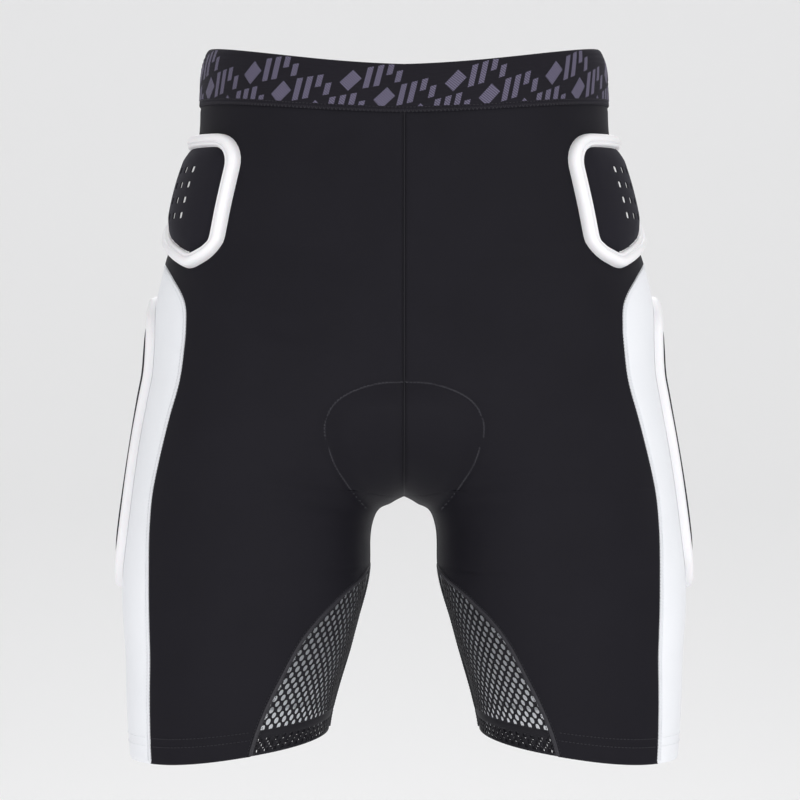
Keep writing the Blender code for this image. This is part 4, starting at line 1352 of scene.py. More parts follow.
@dataclass
class Hems:
    """The cloth turned up inside each leg and the two rows of stitching that hold it."""

    tailor: Tailor
    width: float = 0.018
    depth: float = 0.0006
    lines: tuple[float, float] = (0.0125, 0.0185)
    pitch: float = 0.0027
    thread: float = 0.00026
    bindings: tuple[tuple[float, float], ...] = ((0.0012, 0.0020), (0.0155, 0.0050))  # height and width
    binding_thick: float = 0.0005

    def facing(self, side: Side) -> None:
        """Makes the turned-up cloth behind the front panel and behind the side panel."""
        p = self.tailor.pattern
        front, seam, rear = float(p.mesh_front(0.0)), float(p.side_front(0.0)), float(p.mesh_rear(0.0))
        for name, start, end, finish, nodes, count in (
            ("front", front - 3, seam, CLOTHES.black, (f"hem_facing_{side.tag}",), 60),
            ("side", seam, rear + 2, CLOTHES.white, (), 90),
        ):
            angles, up = np.meshgrid(np.linspace(start, end, count), np.linspace(0.0004, self.width, 9))
            inside = self.tailor.lay(angles, up, -self.depth - FABRIC, side)
            outside = self.tailor.lay(angles, up, -self.depth, side)
            made = add_piece(f"{name}_hem_facing_cloth_{side.tag}", shell(inside, outside), finish, nodes)
            girth = float(np.linalg.norm(np.diff(inside[4], axis=0), axis=1).sum()) / HEM_STRETCH
            declare_sheet(self.width, girth, self.width * girth)

    def net_binding(self, side: Side) -> None:
        """Makes the bound edge of the net and the tape that holds its turned-up hem."""
        p = self.tailor.pattern
        angles = np.linspace(float(p.mesh_rear(0.0)) - 360 + 1, float(p.mesh_front(0.0)) + 1.5, 160)
        parts = []
        for height, width in self.bindings:
            at = np.full(160, height)
            normals = self.tailor.form.spot(angles, at, side)[1]
            path = Path(self.tailor.lay(angles, at, -0.0004, side), normals)
            parts.append(path.ribbon(width, self.binding_thick))
        add_piece(f"net_binding_{side.tag}", joined(*parts), CLOTHES.net)

    def stitches(self, side: Side) -> None:
        """Makes the two stitch rows round the hem, in each panel's own thread."""
        p = self.tailor.pattern
        front, seam, rear = float(p.mesh_front(0.0)), float(p.side_front(0.0)), float(p.mesh_rear(0.0))
        for name, start, end, finish in (
            ("front", rear - 360 + 1, seam - 1.6, CLOTHES.black_thread),
            ("side", seam + 1.6, rear - 2, CLOTHES.white_thread),
        ):
            rows = []
            for height in self.lines:
                angles = np.linspace(start, end, 400)
                lift = np.where(angles < front, -0.0006, FABRIC)
                path = Path(
                    self.tailor.lay(angles, np.full(400, height), lift, side),
                    self.tailor.form.spot(angles, np.full(400, height), side)[1],
                )
                rows.append(path.dashes(self.pitch, 0.68, 0.0, self.thread, 0.00022))
            add_piece(f"hem_stitches_{name}_{side.tag}", joined(*rows), finish)


@dataclass
class Seams:
    """Flat-lock ribbons and their threads where the panels join."""

    tailor: Tailor
    thread: float = 0.00024

    def flat_lock(self, name: str, path: Path, finish: Finish, node: str, width: float, height: float) -> bpy.types.Object:
        """Makes one seam: a low ribbon with zigzag threads over it and a running row on each side.

        Args:
            name: the piece's name.
            path: where it runs.
            finish: its thread.
            node: the solid that it stands for.
            width: across the seam.
            height: how far it stands above the cloth.

        Returns:
            The seam.
        """
        parts = [path.ribbon(width, height)]
        lifted = Path(path.points + path.normals * height * 0.8, path.normals)
        parts.append(lifted.zigzag(0.0011, width * 0.86, self.thread, 0.00016))
        for sign in (-1, 1):
            parts.append(path.dashes(0.0024, 0.66, sign * (width / 2 + 0.0007), self.thread, 0.0002))
        return add_piece(name, joined(*parts), finish, (node,))

    def build(self, side: Side) -> None:
        """Makes the seams of one half."""
        p, t = self.tailor.pattern, self.tailor
        jobs = (
            ("side_seam_front", p.side_front, 0.0008, p.side_tip - 0.003, CLOTHES.white_thread, 0.0022, 0.0004),
            ("side_seam_rear", p.side_rear, p.yoke_foot + 0.001, p.side_tip - 0.003, CLOTHES.white_thread, 0.0024, 0.0005),
            ("mesh_seam_front", p.mesh_front, 0.0008, p.mesh_tip - 0.001, CLOTHES.black_thread, 0.0030, 0.0007),
            ("inseam_tape", p.mesh_rear, 0.0008, p.mesh_tip - 0.0005, CLOTHES.black_thread, 0.0070, 0.0007),
        )
        for name, angle, low, high, finish, width, height in jobs:
            path = t.path(angle, low, high, side)
            self.flat_lock(f"{name}_thread_{side.tag}", path, finish, f"{name}_{side.tag}", width, height)
        heights = np.linspace(p.mesh_tip, t.form.crotch[0] - 0.0005, 60)
        inner = t.drawn(0 * heights, heights, side)
        parts = (inner.ribbon(0.0030, 0.0006), inner.zigzag(0.0012, 0.0026, self.thread, 0.0004))
        add_piece(f"inseam_top_thread_{side.tag}", joined(*parts), CLOTHES.black_thread)

    def centre(self, name: str, front: bool) -> bpy.types.Object:
        """Makes the seam down the centre plane, a fine ridge with a stitch row on each side."""
        t = self.tailor
        low, high = t.form.crotch[0] + 0.0004, SIDE_LENGTH - BAND_WIDTH - 0.0004
        heights = low + (high - low) * np.linspace(0, 1, 300) ** 1.6
        angles = t.form.centre_angles(heights)[0 if front else 1]
        path = t.drawn(angles, heights, Side.LEFT)
        path.points[:, 0] = 0.0
        path.normals[:, 0] = 0.0
        path = Path(path.points, unit(path.normals))
        parts = [path.ribbon(0.0010, 0.0004)]
        for sign in (-1, 1):
            parts.append(path.dashes(0.0026, 0.6, sign * 0.0015, 0.00016, 0.0001))
        return add_piece(f"{name}_thread", joined(*parts), CLOTHES.seam_thread, (name,))

    def seat_outline(self, side: Side) -> None:
        """Makes the stitching that holds the seat pad, seen on the front and the back."""
        t = self.tailor
        for name, edge, front in (("front", t.relief.edges[0], True), ("back", t.relief.edges[1], False)):
            angles = t.form.angle_at(edge[:, 0], edge[:, 1], front)
            path = t.drawn(angles, edge[:, 1], side)
            parts = (path.zigzag(0.0013, 0.0021, 0.00021, 0.0003), path.dashes(0.0026, 0.6, 0.0, 0.00021, 0.0003))
            add_piece(f"seat_pad_stitches_{name}_{side.tag}", joined(*parts), CLOTHES.pad_thread)


@dataclass
class Waistband:
    """The wide elastic with its woven motif and the overlocked edge that sews it on."""

    tailor: Tailor
    ribs: int = 12
    rib_depth: float = 0.00012
    columns: int = 150
    slope: float = 0.27  # the motif's rise along the band
    lean: float = 0.42  # how far its strokes lean
    stroke: float = 0.0042
    tall: float = 0.0180
    spread: float = 1.50  # from one row of the motif to the next
    raised: float = 0.00022
    foot_clear: float = 0.0040
    top_clear: float = 0.0010

    @functools.cached_property
    def girth_table(self) -> tuple[Array, Array]:
        """Length round the band from the centre front, and the angle there."""
        height = SIDE_LENGTH - BAND_WIDTH / 2
        front, back = self.tailor.form.centre_angles(height)
        angles = np.linspace(front, back, 400)
        base, _ = self.tailor.form.spot(angles, np.full(400, height))
        return np.concatenate([[0], np.cumsum(np.linalg.norm(np.diff(base, axis=0), axis=1))]), angles

    def place(self, around: Array, up: Array, offset: Array) -> Array:
        """Points on the band.

        Args:
            around: length from the centre front, the wearer's left positive.
            up: height above the band's foot.
            offset: how far out of its inner face.

        Returns:
            The points.
        """
        run, turn = self.girth_table
        height = SIDE_LENGTH - BAND_WIDTH + up
        share = np.interp(np.abs(around), run, np.linspace(0, 1, len(run)))
        front, back = self.tailor.form.centre_angles(height)
        middle_front, middle_back = turn[0], turn[-1]
        middle = np.interp(share, np.linspace(0, 1, len(run)), turn)
        angle = front + (middle - middle_front) / (middle_back - middle_front) * (back - front)
        base, normal = self.tailor.form.spot(angle, height)
        made = base + normal * np.asarray(offset)[..., None]
        made[..., 0] *= np.where(around < 0, -1, 1)
        return made

    def elastic(self) -> bpy.types.Object:
        """Makes the band: rounded at the top, ribbed, with a stitched-down foot."""
        total = self.girth_table[0][-1]
        around = np.linspace(-total, total, 2 * self.columns + 1)[:-1]
        foot = [0, 0.0004, 0.0012, 0.0026, 0.0034, 0.0040, 0.0046]
        top = [BAND_WIDTH - 0.0008, BAND_WIDTH - 0.0002, BAND_WIDTH]
        up = np.concatenate([foot, np.linspace(0.0056, BAND_WIDTH - 0.0016, 64), top])
        ribs = self.rib_depth * np.cos(2 * np.pi * self.ribs * up / BAND_WIDTH)
        thick = BAND_CLOTH * 0.82 + ribs
        thick = thick - 0.0005 * np.exp(-(((up - 0.0040) / 0.0006) ** 2))
        thick = thick * (0.55 + 0.45 * smooth(up / 0.0012))
        thick = thick * (0.45 + 0.55 * smooth((BAND_WIDTH - up) / 0.0014))
        around, up = np.meshgrid(around, up)
        inside = self.place(around, up, np.zeros_like(up))
        outside = self.place(around, up, np.repeat(thick[:, None], around.shape[1], axis=1))
        flat = np.stack([around, up], axis=-1).reshape(-1, 2)
        both = np.concatenate([flat, flat])
        made = add_piece("waistband_elastic", shell(inside, outside, ring=True), CLOTHES.band, ("waistband",), both)
        length = 2 * total / BAND_STRETCH
        declare_sheet(BAND_WIDTH, length, BAND_WIDTH * length)
        return made

    def strokes(self) -> list[Outline]:
        """The motif laid flat: rising rows of leaning bars, arrow-like wedges and lozenges.

        Returns:
            Convex outlines, across from the centre front and up from the band's foot.
        """
        total = self.girth_table[0][-1]
        tall, wide = self.tall, self.stroke
        bar = np.array([(0, 0), (wide, 0), (wide, tall), (0, tall)])
        short = np.array([(0, 0), (wide, 0), (wide, tall * 0.55), (0, tall * 0.55)])
        lozenge = np.array([(0, tall / 2), (tall * 0.42, 0), (tall * 0.84, tall / 2), (tall * 0.42, tall)])
        cluster = [
            (lozenge, 0.0, 0.0),
            (bar, tall * 0.98, 0.0),
            (bar, tall * 0.98 + wide * 1.75, 0.0),
            (short, tall * 0.98 + wide * 3.5, tall * 0.45),
            (short, tall * 0.98 + wide * 5.25, 0.0),
        ]
        length = tall * 0.98 + wide * 7.4
        made = []
        for row in range(-60, 60):
            for step in range(3):
                start = row * length * self.spread + step * length * 1.02
                base = -tall * 0.95 + step * self.slope * length * 1.02
                if abs(start) > total + 0.05:
                    continue
                for shape, across, up in cluster:
                    spots = shape + [across, up]
                    x, y = spots.T
                    spots = np.stack([x + self.lean * y * 0.5, y + self.slope * x], axis=1)
                    spots = spots + [start, base + self.foot_clear]
                    spots = below_line(spots, 1, self.foot_clear + 0.0006, False)
                    if len(spots) > 2:
                        spots = below_line(spots, 1, BAND_WIDTH - self.top_clear, True)
                    for axis_limit, less in ((total - 0.002, True), (-total + 0.002, False)):
                        if len(spots) > 2:
                            spots = below_line(spots, 0, axis_limit, less)
                    if len(spots) > 2 and np.ptp(spots[:, 0]) > 0.0012 and np.ptp(spots[:, 1]) > 0.0012:
                        made.append(spots)
        return made

    def motif(self) -> bpy.types.Object:
        """Makes the woven motif, slightly raised."""
        parts, flats = [], []
        for outline in self.strokes():
            spots, faces = triangulated(stepped(outline, 0.0030), [], 0.0030)
            if not faces:
                continue
            base = BAND_CLOTH * 0.82
            lower = self.place(spots[:, 0], spots[:, 1], np.full(len(spots), base - 0.0002))
            upper = self.place(spots[:, 0], spots[:, 1], np.full(len(spots), base + self.raised))
            parts.append(closed_plate(lower, upper, faces))
            flats += [spots, spots]
        return add_piece("waistband_motif", joined(*parts), CLOTHES.motif, (), np.concatenate(flats))

    def overlock(self) -> bpy.types.Object:
        """Makes the stitching round the band's foot."""
        total = self.girth_table[0][-1]
        around = np.linspace(-total, total, 1200)
        points = self.place(around, np.full(1200, 0.0040), np.full(1200, BAND_CLOTH * 0.62))
        foot = self.place(around, np.full(1200, 0.0040), np.full(1200, BAND_CLOTH * 1.62))
        path = Path(points, unit(foot - points))
        row = path.dashes(0.0026, 0.66, 0.0, 0.00026, 0.0002)
        parts = (row, path.zigzag(0.0014, 0.0030, 0.00022, 0.0003, across=0.0022))
        return add_piece("waistband_stitches", joined(*parts), CLOTHES.black_thread)


@dataclass
class Layout:
    """Wraps flat (across, up) places onto the form: across is a length round the body, towards the front."""

    tailor: Tailor
    angle: float
    height: float
    rear: bool = False

    @functools.cached_property
    def tables(self) -> tuple[Array, list[tuple[Array, Array]]]:
        """Section heights, and each section's lengths and angles from the layout's middle."""
        heights = np.linspace(max(self.height - 0.16, 0), min(self.height + 0.16, SIDE_LENGTH), 41)
        made = []
        for height in heights:
            front, back = self.tailor.form.centre_angles(height)
            angles = np.linspace(front, back, 181)
            base, _ = self.tailor.form.spot(angles, np.full(181, height))
            arc = np.concatenate([[0], np.cumsum(np.linalg.norm(np.diff(base, axis=0), axis=1))])
            zero = arc[-1] if self.rear else np.interp(self.angle, angles, arc)
            made.append(((zero - arc)[::-1], angles[::-1]))
        return heights, made

    def points(self, flat: Array, offset: Array, side: Side) -> Array:
        """Points on the cloth for flat places.

        Args:
            flat: across and up of each place.
            offset: how far out of the cloth's inner face each lies.
            side: the half of the garment.

        Returns:
            The points.
        """
        heights, tables = self.tables
        across = np.abs(flat[:, 0]) if self.rear else flat[:, 0]
        at = self.height + flat[:, 1]
        i = np.clip(np.searchsorted(heights, at) - 1, 0, len(heights) - 2)
        share = (at - heights[i]) / (heights[i + 1] - heights[i])
        low = np.array([np.interp(s, *tables[k]) for s, k in zip(across, i)])
        high = np.array([np.interp(s, *tables[k + 1]) for s, k in zip(across, i)])
        made = self.tailor.lay(low + (high - low) * share, at, np.broadcast_to(offset, len(flat)), side)
        if self.rear:
            made[:, 0] *= np.where(flat[:, 0] < 0, -1, 1)
            made[np.abs(flat[:, 0]) < 1e-9, 0] = 0.0
        return made


@dataclass
class Pad:
    """A moulded rim, a foam core and a perforated face that swells out of the rim."""

    name: str
    layout: Layout
    corners: tuple[tuple[float, float, float], ...]
    rim_height: float
    crown: float
    pitch: tuple[float, float]
    grid: tuple[int, int, tuple[float, float]]
    paired: bool = True
    rim_width: float = 0.0100
    face_cloth: float = 0.0009
    hole: float = 0.0046
    step: float = 0.0042
    seat: float = 0.58
    held_frames: int = 20
    cap: float = 0.012
    section: tuple[tuple[float, float], ...] = (
        (0.00, -0.04), (0.00, 0.22), (0.02, 0.46), (0.07, 0.68), (0.16, 0.86), (0.28, 0.96), (0.42, 1.00),
        (0.54, 0.98), (0.61, 0.91), (0.645, 0.80), (0.675, 0.76), (0.705, 0.80), (0.75, 0.86), (0.83, 0.85),
        (0.91, 0.76), (0.97, 0.60), (1.00, 0.40), (1.00, -0.04),
    )

    @functools.cached_property
    def outline(self) -> Outline:
        """The rim's outer edge, laid flat."""
        return rounded(self.corners, self.step)

    @functools.cached_property
    def inner(self) -> Outline:
        """The face's edge, laid flat, tucked a little under the rim."""
        return inset(self.outline, self.rim_width - 0.0004)

    @property
    def base(self) -> float:
        """How far out of the garment's inner face the pad starts."""
        return FABRIC + (0.0004 if self.paired else 0.0010)

    def dome(self, spots: Array) -> Array:
        """The drawn crown, before the cloth is blown up: nothing at the edge, the crown in the middle."""
        reach = distance_to(np.array([self.inner.mean(axis=0)]), self.inner)[0]
        share = np.where(contains(spots, self.inner), distance_to(spots, self.inner) / reach, 0.0)
        return self.crown * (1 - (1 - np.clip(share, 0, 1)) ** 2)

    @functools.cached_property
    def blown(self) -> tuple[BVHTree, float] | None:
        """The face as a small cushion laid flat and blown up by cloth simulation, and its greatest height."""
        thick = 0.006
        spots, faces = triangulated(stepped(inset(self.inner, 0.001), 0.005), [], 0.006)
        low = np.concatenate([spots, np.zeros((len(spots), 1))], axis=1)
        points, faces = closed_plate(low, low + [0, 0, thick], faces)
        mesh = bpy.data.meshes.new("cushion")
        mesh.from_pydata(points.tolist(), [], faces)
        cushion = bpy.data.objects.new("cushion", mesh)
        bpy.context.scene.collection.objects.link(cushion)
        remesh = cushion.modifiers.new("remesh", "REMESH")
        remesh.mode = "VOXEL"
        remesh.voxel_size = 0.0045
        started = self.applied(cushion)
        rest = np.array([v.co for v in started.vertices])
        held = cushion.vertex_groups.new(name="held")
        held.add([i for i, place in enumerate(rest) if place[2] < thick * 0.45], 1.0, "REPLACE")
        cloth = cushion.modifiers.new("cloth", "CLOTH")
        cloth.settings.vertex_group_mass = "held"
        cloth.settings.mass = 0.25
        cloth.settings.tension_stiffness = cloth.settings.compression_stiffness = 12
        cloth.settings.use_pressure = True
        cloth.settings.uniform_pressure_force = 4
        cloth.settings.effector_weights.gravity = 0
        cloth.point_cache.frame_start, cloth.point_cache.frame_end = 1, self.held_frames
        for number in range(1, self.held_frames + 1):
            bpy.context.scene.frame_set(number)
        ended = self.applied(cushion)
        moved = np.array([v.co for v in ended.vertices]) - rest
        far = np.linalg.norm(moved, axis=1, keepdims=True)
        moved *= np.minimum(1, self.cap / np.maximum(far, 1e-9))
        places = rest + moved
        tree = BVHTree.FromPolygons(places.tolist(), [list(f.vertices) for f in ended.polygons])
        bpy.data.objects.remove(cushion, do_unlink=True)
        bpy.context.scene.frame_set(1)
        LOG.info("%s: blown up to %.1f mm", self.name, places[:, 2].max() * 1000)
        return tree, float(places[:, 2].max())

    @staticmethod
    def applied(thing: bpy.types.Object) -> bpy.types.Mesh:
        """Applies a thing's modifiers and returns its new mesh."""
        graph = bpy.context.evaluated_depsgraph_get()
        mesh = bpy.data.meshes.new_from_object(thing.evaluated_get(graph))
        thing.modifiers.clear()
        thing.data = mesh
        return mesh

    def swell(self, spots: Array) -> Array:
        """How far the face stands above its edge.

        Args:
            spots: flat places.

        Returns:
            One height a place.
        """
        drawn = self.dome(spots)
        if self.blown is None:
            return drawn
        tree, top = self.blown
        found = [tree.ray_cast(Vector((x, y, 1.0)), Vector((0, 0, -1)))[0] for x, y in spots]
        height = np.array([0.0 if hit is None else hit.z for hit in found])
        run_in = smooth(distance_to(spots, self.inner) / 0.010) * contains(spots, self.inner)
        return (0.35 * drawn / self.crown + 0.65 * height / top * run_in) * self.crown

    def holes(self) -> list[Outline]:
        """The face's square perforations with softened corners, clear of its edge."""
        columns, rows, centre = self.grid
        made = []
        for i in range(columns):
            for j in range(rows):
                up = (j - (rows - 1) / 2) * self.pitch[1]
                across = (i - (columns - 1) / 2) * self.pitch[0]
                spot = np.array([centre[0] + across, centre[1] + up])
                inside = contains(spot[None], self.inner)[0]
                if inside and distance_to(spot[None], self.inner)[0] > self.hole * 1.6:
                    h = self.hole / 2
                    turns = ((-1, -1), (1, -1), (1, 1), (-1, 1))
                    square = tuple((spot[0] + a * h, spot[1] + b * h, 0.0007) for a, b in turns)
                    made.append(rounded(square, 0.0030, 2))
        return made

    def build(self, side: Side) -> None:
        """Makes the pad's pieces on one half.

        Args:
            side: the half of the garment; a single pad is made once.
        """
        tag = f"_{side.tag}" if self.paired else ""
        layout, base = self.layout, self.base
        loops = []
        for share, rise in self.section:
            ring = inset(self.outline, self.rim_width * share)
            loops.append(layout.points(ring, np.full(len(ring), base + self.rim_height * rise), side))
        count, around = len(self.outline), len(self.section)
        run = np.concatenate([[0], np.cumsum(np.linalg.norm(np.diff(self.outline, axis=0), axis=1))])
        index = np.arange(count * around).reshape(around, count)
        a, b = index, np.roll(index, -1, axis=1)
        faces = np.stack([a, b, np.roll(b, -1, axis=0), np.roll(a, -1, axis=0)], axis=-1).reshape(-1, 4).tolist()
        rows = [np.stack([run, 0 * run + share * self.rim_width], axis=1) for share, _ in self.section]
        rim = (np.concatenate(loops), faces)
        nodes = (f"{self.name}_rim{tag}",)
        add_piece(f"{self.name}_edging{tag}", rim, CLOTHES.rim, nodes, np.concatenate(rows), 70)

        seat = base + self.rim_height * self.seat
        spots, faces = triangulated(self.inner, [], self.step)
        rise = self.swell(spots)
        foam = closed_plate(
            layout.points(spots, np.full(len(spots), base), side),
            layout.points(spots, seat - self.face_cloth + rise - 0.0001, side),
            faces,
        )
        nodes, both = (f"{self.name}_foam{tag}",), np.concatenate([spots, spots])
        core = add_piece(f"{self.name}_core{tag}", foam, CLOTHES.foam, nodes, both)

        spots, faces = triangulated(self.inner, self.holes(), self.step * 0.8)
        rise = self.swell(spots)
        tuck = 0.0012 * (1 - smooth(distance_to(spots, self.inner) / 0.003))
        lower = layout.points(spots, seat - self.face_cloth + rise - tuck, side)
        upper = layout.points(spots, seat + rise - tuck, side)
        nodes, both = (f"{self.name}_face{tag}",), np.concatenate([spots, spots])
        plate = closed_plate(lower, upper, faces)
        cover = add_piece(f"{self.name}_cloth{tag}", plate, CLOTHES.face, nodes, both, 40)
        wide, tall = np.ptp(self.inner, axis=0)
        x, y = self.inner.T
        area = abs(float(x @ np.roll(y, -1) - y @ np.roll(x, -1))) / 2
        declare_sheet(wide, tall, area)


@dataclass
class SeatPad:
    """The foam seat pad inside the crotch and its brushed lining."""

    tailor: Tailor
    gap: float = 0.0032
    foam: float = 0.0056
    cover: float = 0.0010
    front_top: float = height_of(1.255)
    back_top: float = height_of(1.32)
    front_wide: float = 58.0
    back_wide: float = 60.0
    dip: float = 0.016
    channel: float = 0.0016

    def limits(self, share: float) -> tuple[float, float, float, bool]:
        """The left half's angle, upper and lower height at a share from the back edge, -1, to the front edge, 1.

        Args:
            share: where along the pad.

        Returns:
            The angle, the two heights, and whether the upper one is on the centre plane.
        """
        form = self.tailor.form
        front = share >= 0
        top, wide = (self.front_top, self.front_wide) if front else (self.back_top, self.back_wide)
        crotch = form.crotch[0]
        angle = wide * abs(share)
        heights = crotch + (top - crotch) * np.linspace(0, 1, 400) ** 2
        turns = form.centre_angles(heights)[0] if front else 360 - form.centre_angles(heights)[1]
        middle = (top + crotch) / 2
        on_centre = angle < turns[-1]
        if on_centre:
            upper = float(np.interp(angle, turns, heights))
        else:
            past = (angle - turns[-1]) / (wide - turns[-1])
            upper = middle + (top - middle) * math.sqrt(max(0.0, 1 - past * past))
        lower = middle - (middle - crotch + self.dip) * math.sqrt(max(0.0, 1 - abs(share) ** 2.2))
        return (angle if front else 360 - angle), upper, min(lower, upper - 0.004), on_centre

    def grid(self) -> tuple[Array, Array, Array]:
        """Angles and heights of the left half's grid, and which of its first row lie on the centre plane."""
        shares = np.linspace(-0.96, 0.96, 61)
        across = np.linspace(0, 1, 26) ** 1.15
        angles, heights, centred = [], [], []
        for share in shares:
            angle, upper, lower, on_centre = self.limits(share)
            angles.append(np.full(len(across), angle))
            heights.append(upper + (lower - upper) * across)
            centred.append(on_centre)
        return np.array(angles), np.array(heights), np.array(centred)

    def layer(self, top: float, thick: float, finish: Finish, name: str, node: str) -> bpy.types.Object:
        """Makes one layer across the centre plane, thinner at its bound edge and along two sewn channels.

        Args:
            top: how far inside the garment's inner face the layer's outer side lies.
            thick: the layer's thickness.
            finish: what it is made of.
            name: the piece's name.
            node: the solid that it stands for.

        Returns:
            The layer.
        """
        angles, heights, centred = self.grid()
        base, normal = self.tailor.form.spot(angles, heights)
        rows, columns = angles.shape
        along = np.linspace(-1, 1, rows)[:, None]
        across = np.linspace(0, 1, columns)[None]
        edge = np.minimum(smooth((1 - np.abs(along)) / 0.10), smooth((1 - across) / 0.14))
        channel = np.exp(-(((across - 0.52) / 0.035) ** 2)) * smooth((0.85 - np.abs(along)) / 0.1)
        depth = thick * (0.30 + 0.70 * edge) - min(self.channel, thick * 0.3) * channel
        upper = base - normal * top
        lower = base - normal * (top + np.broadcast_to(depth, angles.shape))[..., None]
        for grid in (upper, lower):
            grid[centred, 0, 0] = 0.0
        points, faces = shell(lower, upper)
        both = np.concatenate([points, points * [-1, 1, 1]])
        faces = faces + [[len(points) + i for i in reversed(face)] for face in faces]
        order, kept, places = [], [], {}
        for i, point in enumerate(both):
            key = tuple(np.round(point, 6)) if point[0] == 0.0 else i
            if key not in places:
                places[key] = len(kept)
                kept.append(point)
            order.append(places[key])
        mapped = [[order[i] for i in face] for face in faces]
        count: dict[tuple[int, ...], int] = {}
        for face in mapped:
            key = tuple(sorted(face))
            count[key] = count.get(key, 0) + 1
        faces = [face for face in mapped if count[tuple(sorted(face))] == 1]
        return add_piece(name, (np.array(kept), faces), finish, (node,))

    def build(self) -> None:
        """Makes the foam and its lining."""
        foam = self.layer(self.gap, self.foam, CLOTHES.foam, "seat_pad_core", "chamois_foam")
        lining = self.layer(self.gap + self.foam + 0.0003, self.cover, CLOTHES.chamois, "seat_pad_lining", "chamois_cover")
        declare_sheet(0.17, 0.32, 0.17 * 0.32 * 0.50)


@dataclass
class Label:
    """A blank label sewn inside the back of the waistband."""

    tailor: Tailor
    width: float = 0.030
    height: float = 0.034
    cloth: float = 0.0006

    def build(self) -> bpy.types.Object:
        """Makes the label, curling slightly off the band at its foot."""
        low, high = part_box("size_label")
        rows = np.linspace(0, 1, 14)
        columns = np.linspace(-0.5, 0.5, 12)
        across, up = np.meshgrid(columns, rows)
        curl = 0.0016 * (1 - up) ** 2 + 0.0005 * np.cos(np.pi * across) * (1 - up)
        y = low.y + (high.y - low.y) * up
        points = np.stack([across * self.width, y - curl, low.z + (high.z - low.z) * up], axis=-1)
        made = add_piece("blank_label", shell(points - [0, self.cloth, 0], points), CLOTHES.label, ("size_label",))
        declare_sheet(self.width, self.height, self.width * self.height)
        return made


# ---------------------------------------------------------------- the studio
@dataclass
class Studio:
    """A pale sweep of paper, soft lamps and the camera."""

    floor: float = -0.45
    bend: float = 1.4
    back: float = 2.4
    paper: tuple[float, float, float] = (0.93, 0.93, 0.935)

    def sweep(self) -> bpy.types.Object:
        """Makes the floor, which curves up behind the garment."""
        bends = np.linspace(0, np.pi / 2, 24)
        profile = [(-6.0, self.floor), (-2.0, self.floor), (0.0, self.floor)]
        for t in bends:
            profile.append((self.back + self.bend * math.sin(t), self.floor + self.bend * (1 - math.cos(t))))
        profile += [(self.back + self.bend, 6.0)]
        points = [(x, y, z) for y, z in profile for x in (-7.0, 7.0)]
        faces = [[2 * i, 2 * i + 1, 2 * i + 3, 2 * i + 2] for i in range(len(profile) - 1)]
        mesh = bpy.data.meshes.new("paper_sweep")
        mesh.from_pydata(points, [], faces)
        mesh.shade_smooth()
        made = bpy.data.objects.new("paper_sweep", mesh)
        bpy.context.scene.collection.objects.link(made)
        paper = bpy.data.materials.new("pale_paper")
        paper.use_nodes = True
        shader = paper.node_tree.nodes["Principled BSDF"]
        shader.inputs["Base Color"].default_value = (*self.paper, 1)
        shader.inputs["Roughness"].default_value = 0.9
        mesh.materials.append(paper)
        return made

    @staticmethod
    def lamp(name: str, place: tuple[float, float, float], aim: tuple[float, float, float], size: float, power: float) -> None:
        """Hangs one soft square lamp.

        Args:
            name: the lamp's name.
            place: where it hangs.
            aim: what it points at.
            size: its side.
            power: in watts.
        """
        data = bpy.data.lights.new(name, "AREA")
        data.shape = "SQUARE"
        data.size = size
        data.energy = power
        made = bpy.data.objects.new(name, data)
        made.location = place
        made.rotation_euler = (Vector(aim) - Vector(place)).to_track_quat("-Z", "Y").to_euler()
        bpy.context.scene.collection.objects.link(made)

    def build(self) -> None:
        """Sets up the sweep, the lamps, the sky and the camera."""
        bpy.context.scene.view_settings.view_transform = "Standard"
        self.sweep()
        middle = (0.0, 0.0, 0.27)
        self.lamp("key_lamp", (1.5, -2.0, 1.5), middle, 1.6, 22)
        self.lamp("fill_lamp", (-1.9, -1.8, 0.8), middle, 1.8, 9)
        self.lamp("back_lamp", (0.0, 1.9, 1.9), middle, 1.6, 22)
        self.lamp("low_lamp", (0.0, -1.1, -0.35), (0.0, 0.0, 0.15), 1.2, 7)
        world = bpy.data.worlds.new("studio_air")
        bpy.context.scene.world = world
        world.use_nodes = True
        sky = world.node_tree.nodes["Background"]
        sky.inputs["Color"].default_value = (1.0, 1.0, 1.0, 1)
        sky.inputs["Strength"].default_value = 0.72
        data = bpy.data.cameras.new("front_camera")
        data.lens = 135.6
        data.sensor_width = 36.0
        camera = bpy.data.objects.new("front_camera", data)
        camera.location = (-0.003, -2.2141, 0.259)
        camera.rotation_euler = (math.pi / 2, 0, 0)
        bpy.context.scene.collection.objects.link(camera)
        bpy.context.scene.camera = camera


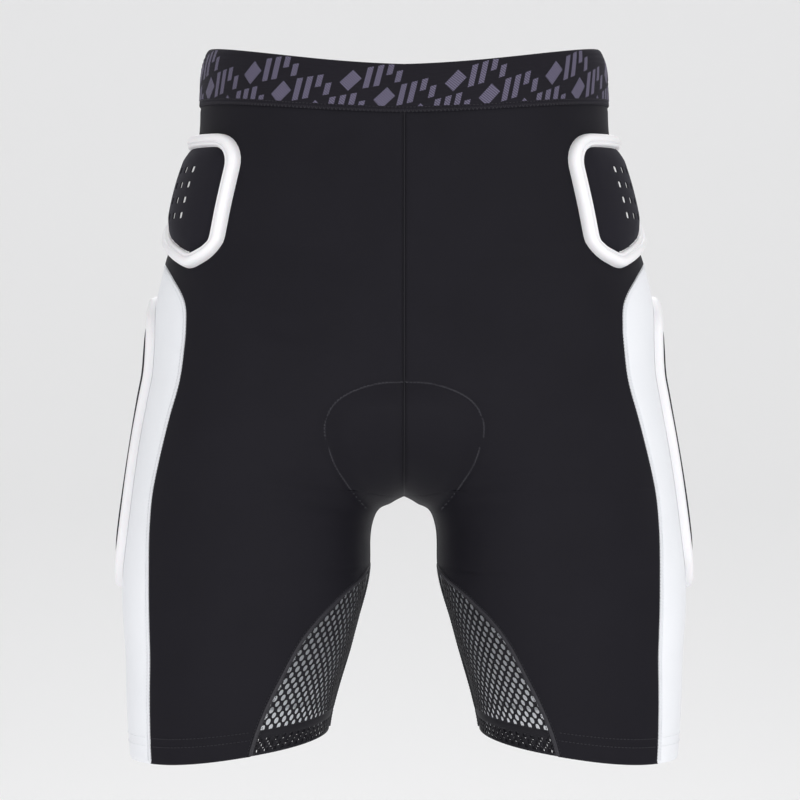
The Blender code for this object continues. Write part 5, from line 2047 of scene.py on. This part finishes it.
def pads(tailor: Tailor) -> list[Pad]:
    """The hip, thigh and tailbone pads.

    Args:
        tailor: what lays them on the form.

    Returns:
        The three kinds of pad.
    """
    hip = Pad(
        "hip_pad",
        Layout(tailor, 180.0, height_of(1.65)),
        (
            (0.092, 0.048, 0.027), (-0.046, 0.048, 0.024), (-0.050, -0.004, 0.026), (0.020, -0.034, 0.060),
            (0.072, -0.051, 0.020), (0.096, -0.040, 0.020),
        ),
        rim_height=0.0075, crown=0.0040, pitch=(0.0125, 0.0110), grid=(7, 4, (0.014, 0.004)),
    )
    thigh = Pad(
        "thigh_pad",
        Layout(tailor, 180.0, height_of(1.109)),
        (
            (0.022, 0.088, 0.030), (-0.010, 0.106, 0.030), (-0.060, 0.098, 0.026), (-0.080, 0.030, 0.060),
            (-0.076, -0.080, 0.030), (-0.045, -0.108, 0.026), (0.004, -0.108, 0.026), (0.026, -0.080, 0.040),
        ),
        rim_height=0.0062, crown=0.0060, pitch=(0.0165, 0.0165), grid=(3, 10, (-0.027, 0.0)),
    )
    tail = Pad(
        "tailbone_pad",
        Layout(tailor, 0.0, height_of(1.58), rear=True),
        (
            (0.048, 0.060, 0.022), (-0.048, 0.060, 0.022), (-0.056, 0.010, 0.030), (-0.020, -0.066, 0.018),
            (0.020, -0.066, 0.018), (0.056, 0.010, 0.030),
        ),
        rim_height=0.0070, crown=0.0035, pitch=(0.0150, 0.0150), grid=(4, 5, (0.0, 0.008)), paired=False,
    )
    return [hip, thigh, tail]


def main() -> None:
    """Builds the garment piece by piece, then the studio."""
    logging.basicConfig(level=logging.INFO, format="%(message)s")
    form = BodyForm.fitted()
    LOG.info("form: girth %.4f, shift %.4f", form.girth, form.shift)
    pattern = Pattern()
    tailor = Tailor(form, pattern, Relief(form, pattern))
    panels, net, hems, seams = Panels(tailor), Net(tailor), Hems(tailor), Seams(tailor)
    for side in Side:
        panels.build("front", CLOTHES.black, side)
        panels.build("side", CLOTHES.white, side)
        panels.build("rear", CLOTHES.black, side)
        leg, top = f"inner_leg_mesh_{side.tag}", pattern.mesh_tip + 0.002
        net.build(f"inner_leg_net_{side.tag}", leg, side, 0.0, top, 0.0002, 0.0, 0.50)
        net.build(f"net_hem_{side.tag}", f"mesh_hem_{side.tag}", side, 0.0, 0.0165, 0.0012, 0.0021, 0.7)
        hems.facing(side)
        hems.net_binding(side)
        hems.stitches(side)
        seams.build(side)
        seams.seat_outline(side)
    seams.centre("centre_front_seam", True)
    seams.centre("centre_back_seam", False)
    band = Waistband(tailor)
    band.elastic()
    band.motif()
    band.overlock()
    for pad in pads(tailor):
        for side in Side if pad.paired else (Side.LEFT,):
            pad.build(side)
    SeatPad(tailor).build()
    Label(tailor).build()
    Studio().build()


if __name__ == "__main__":
    main()
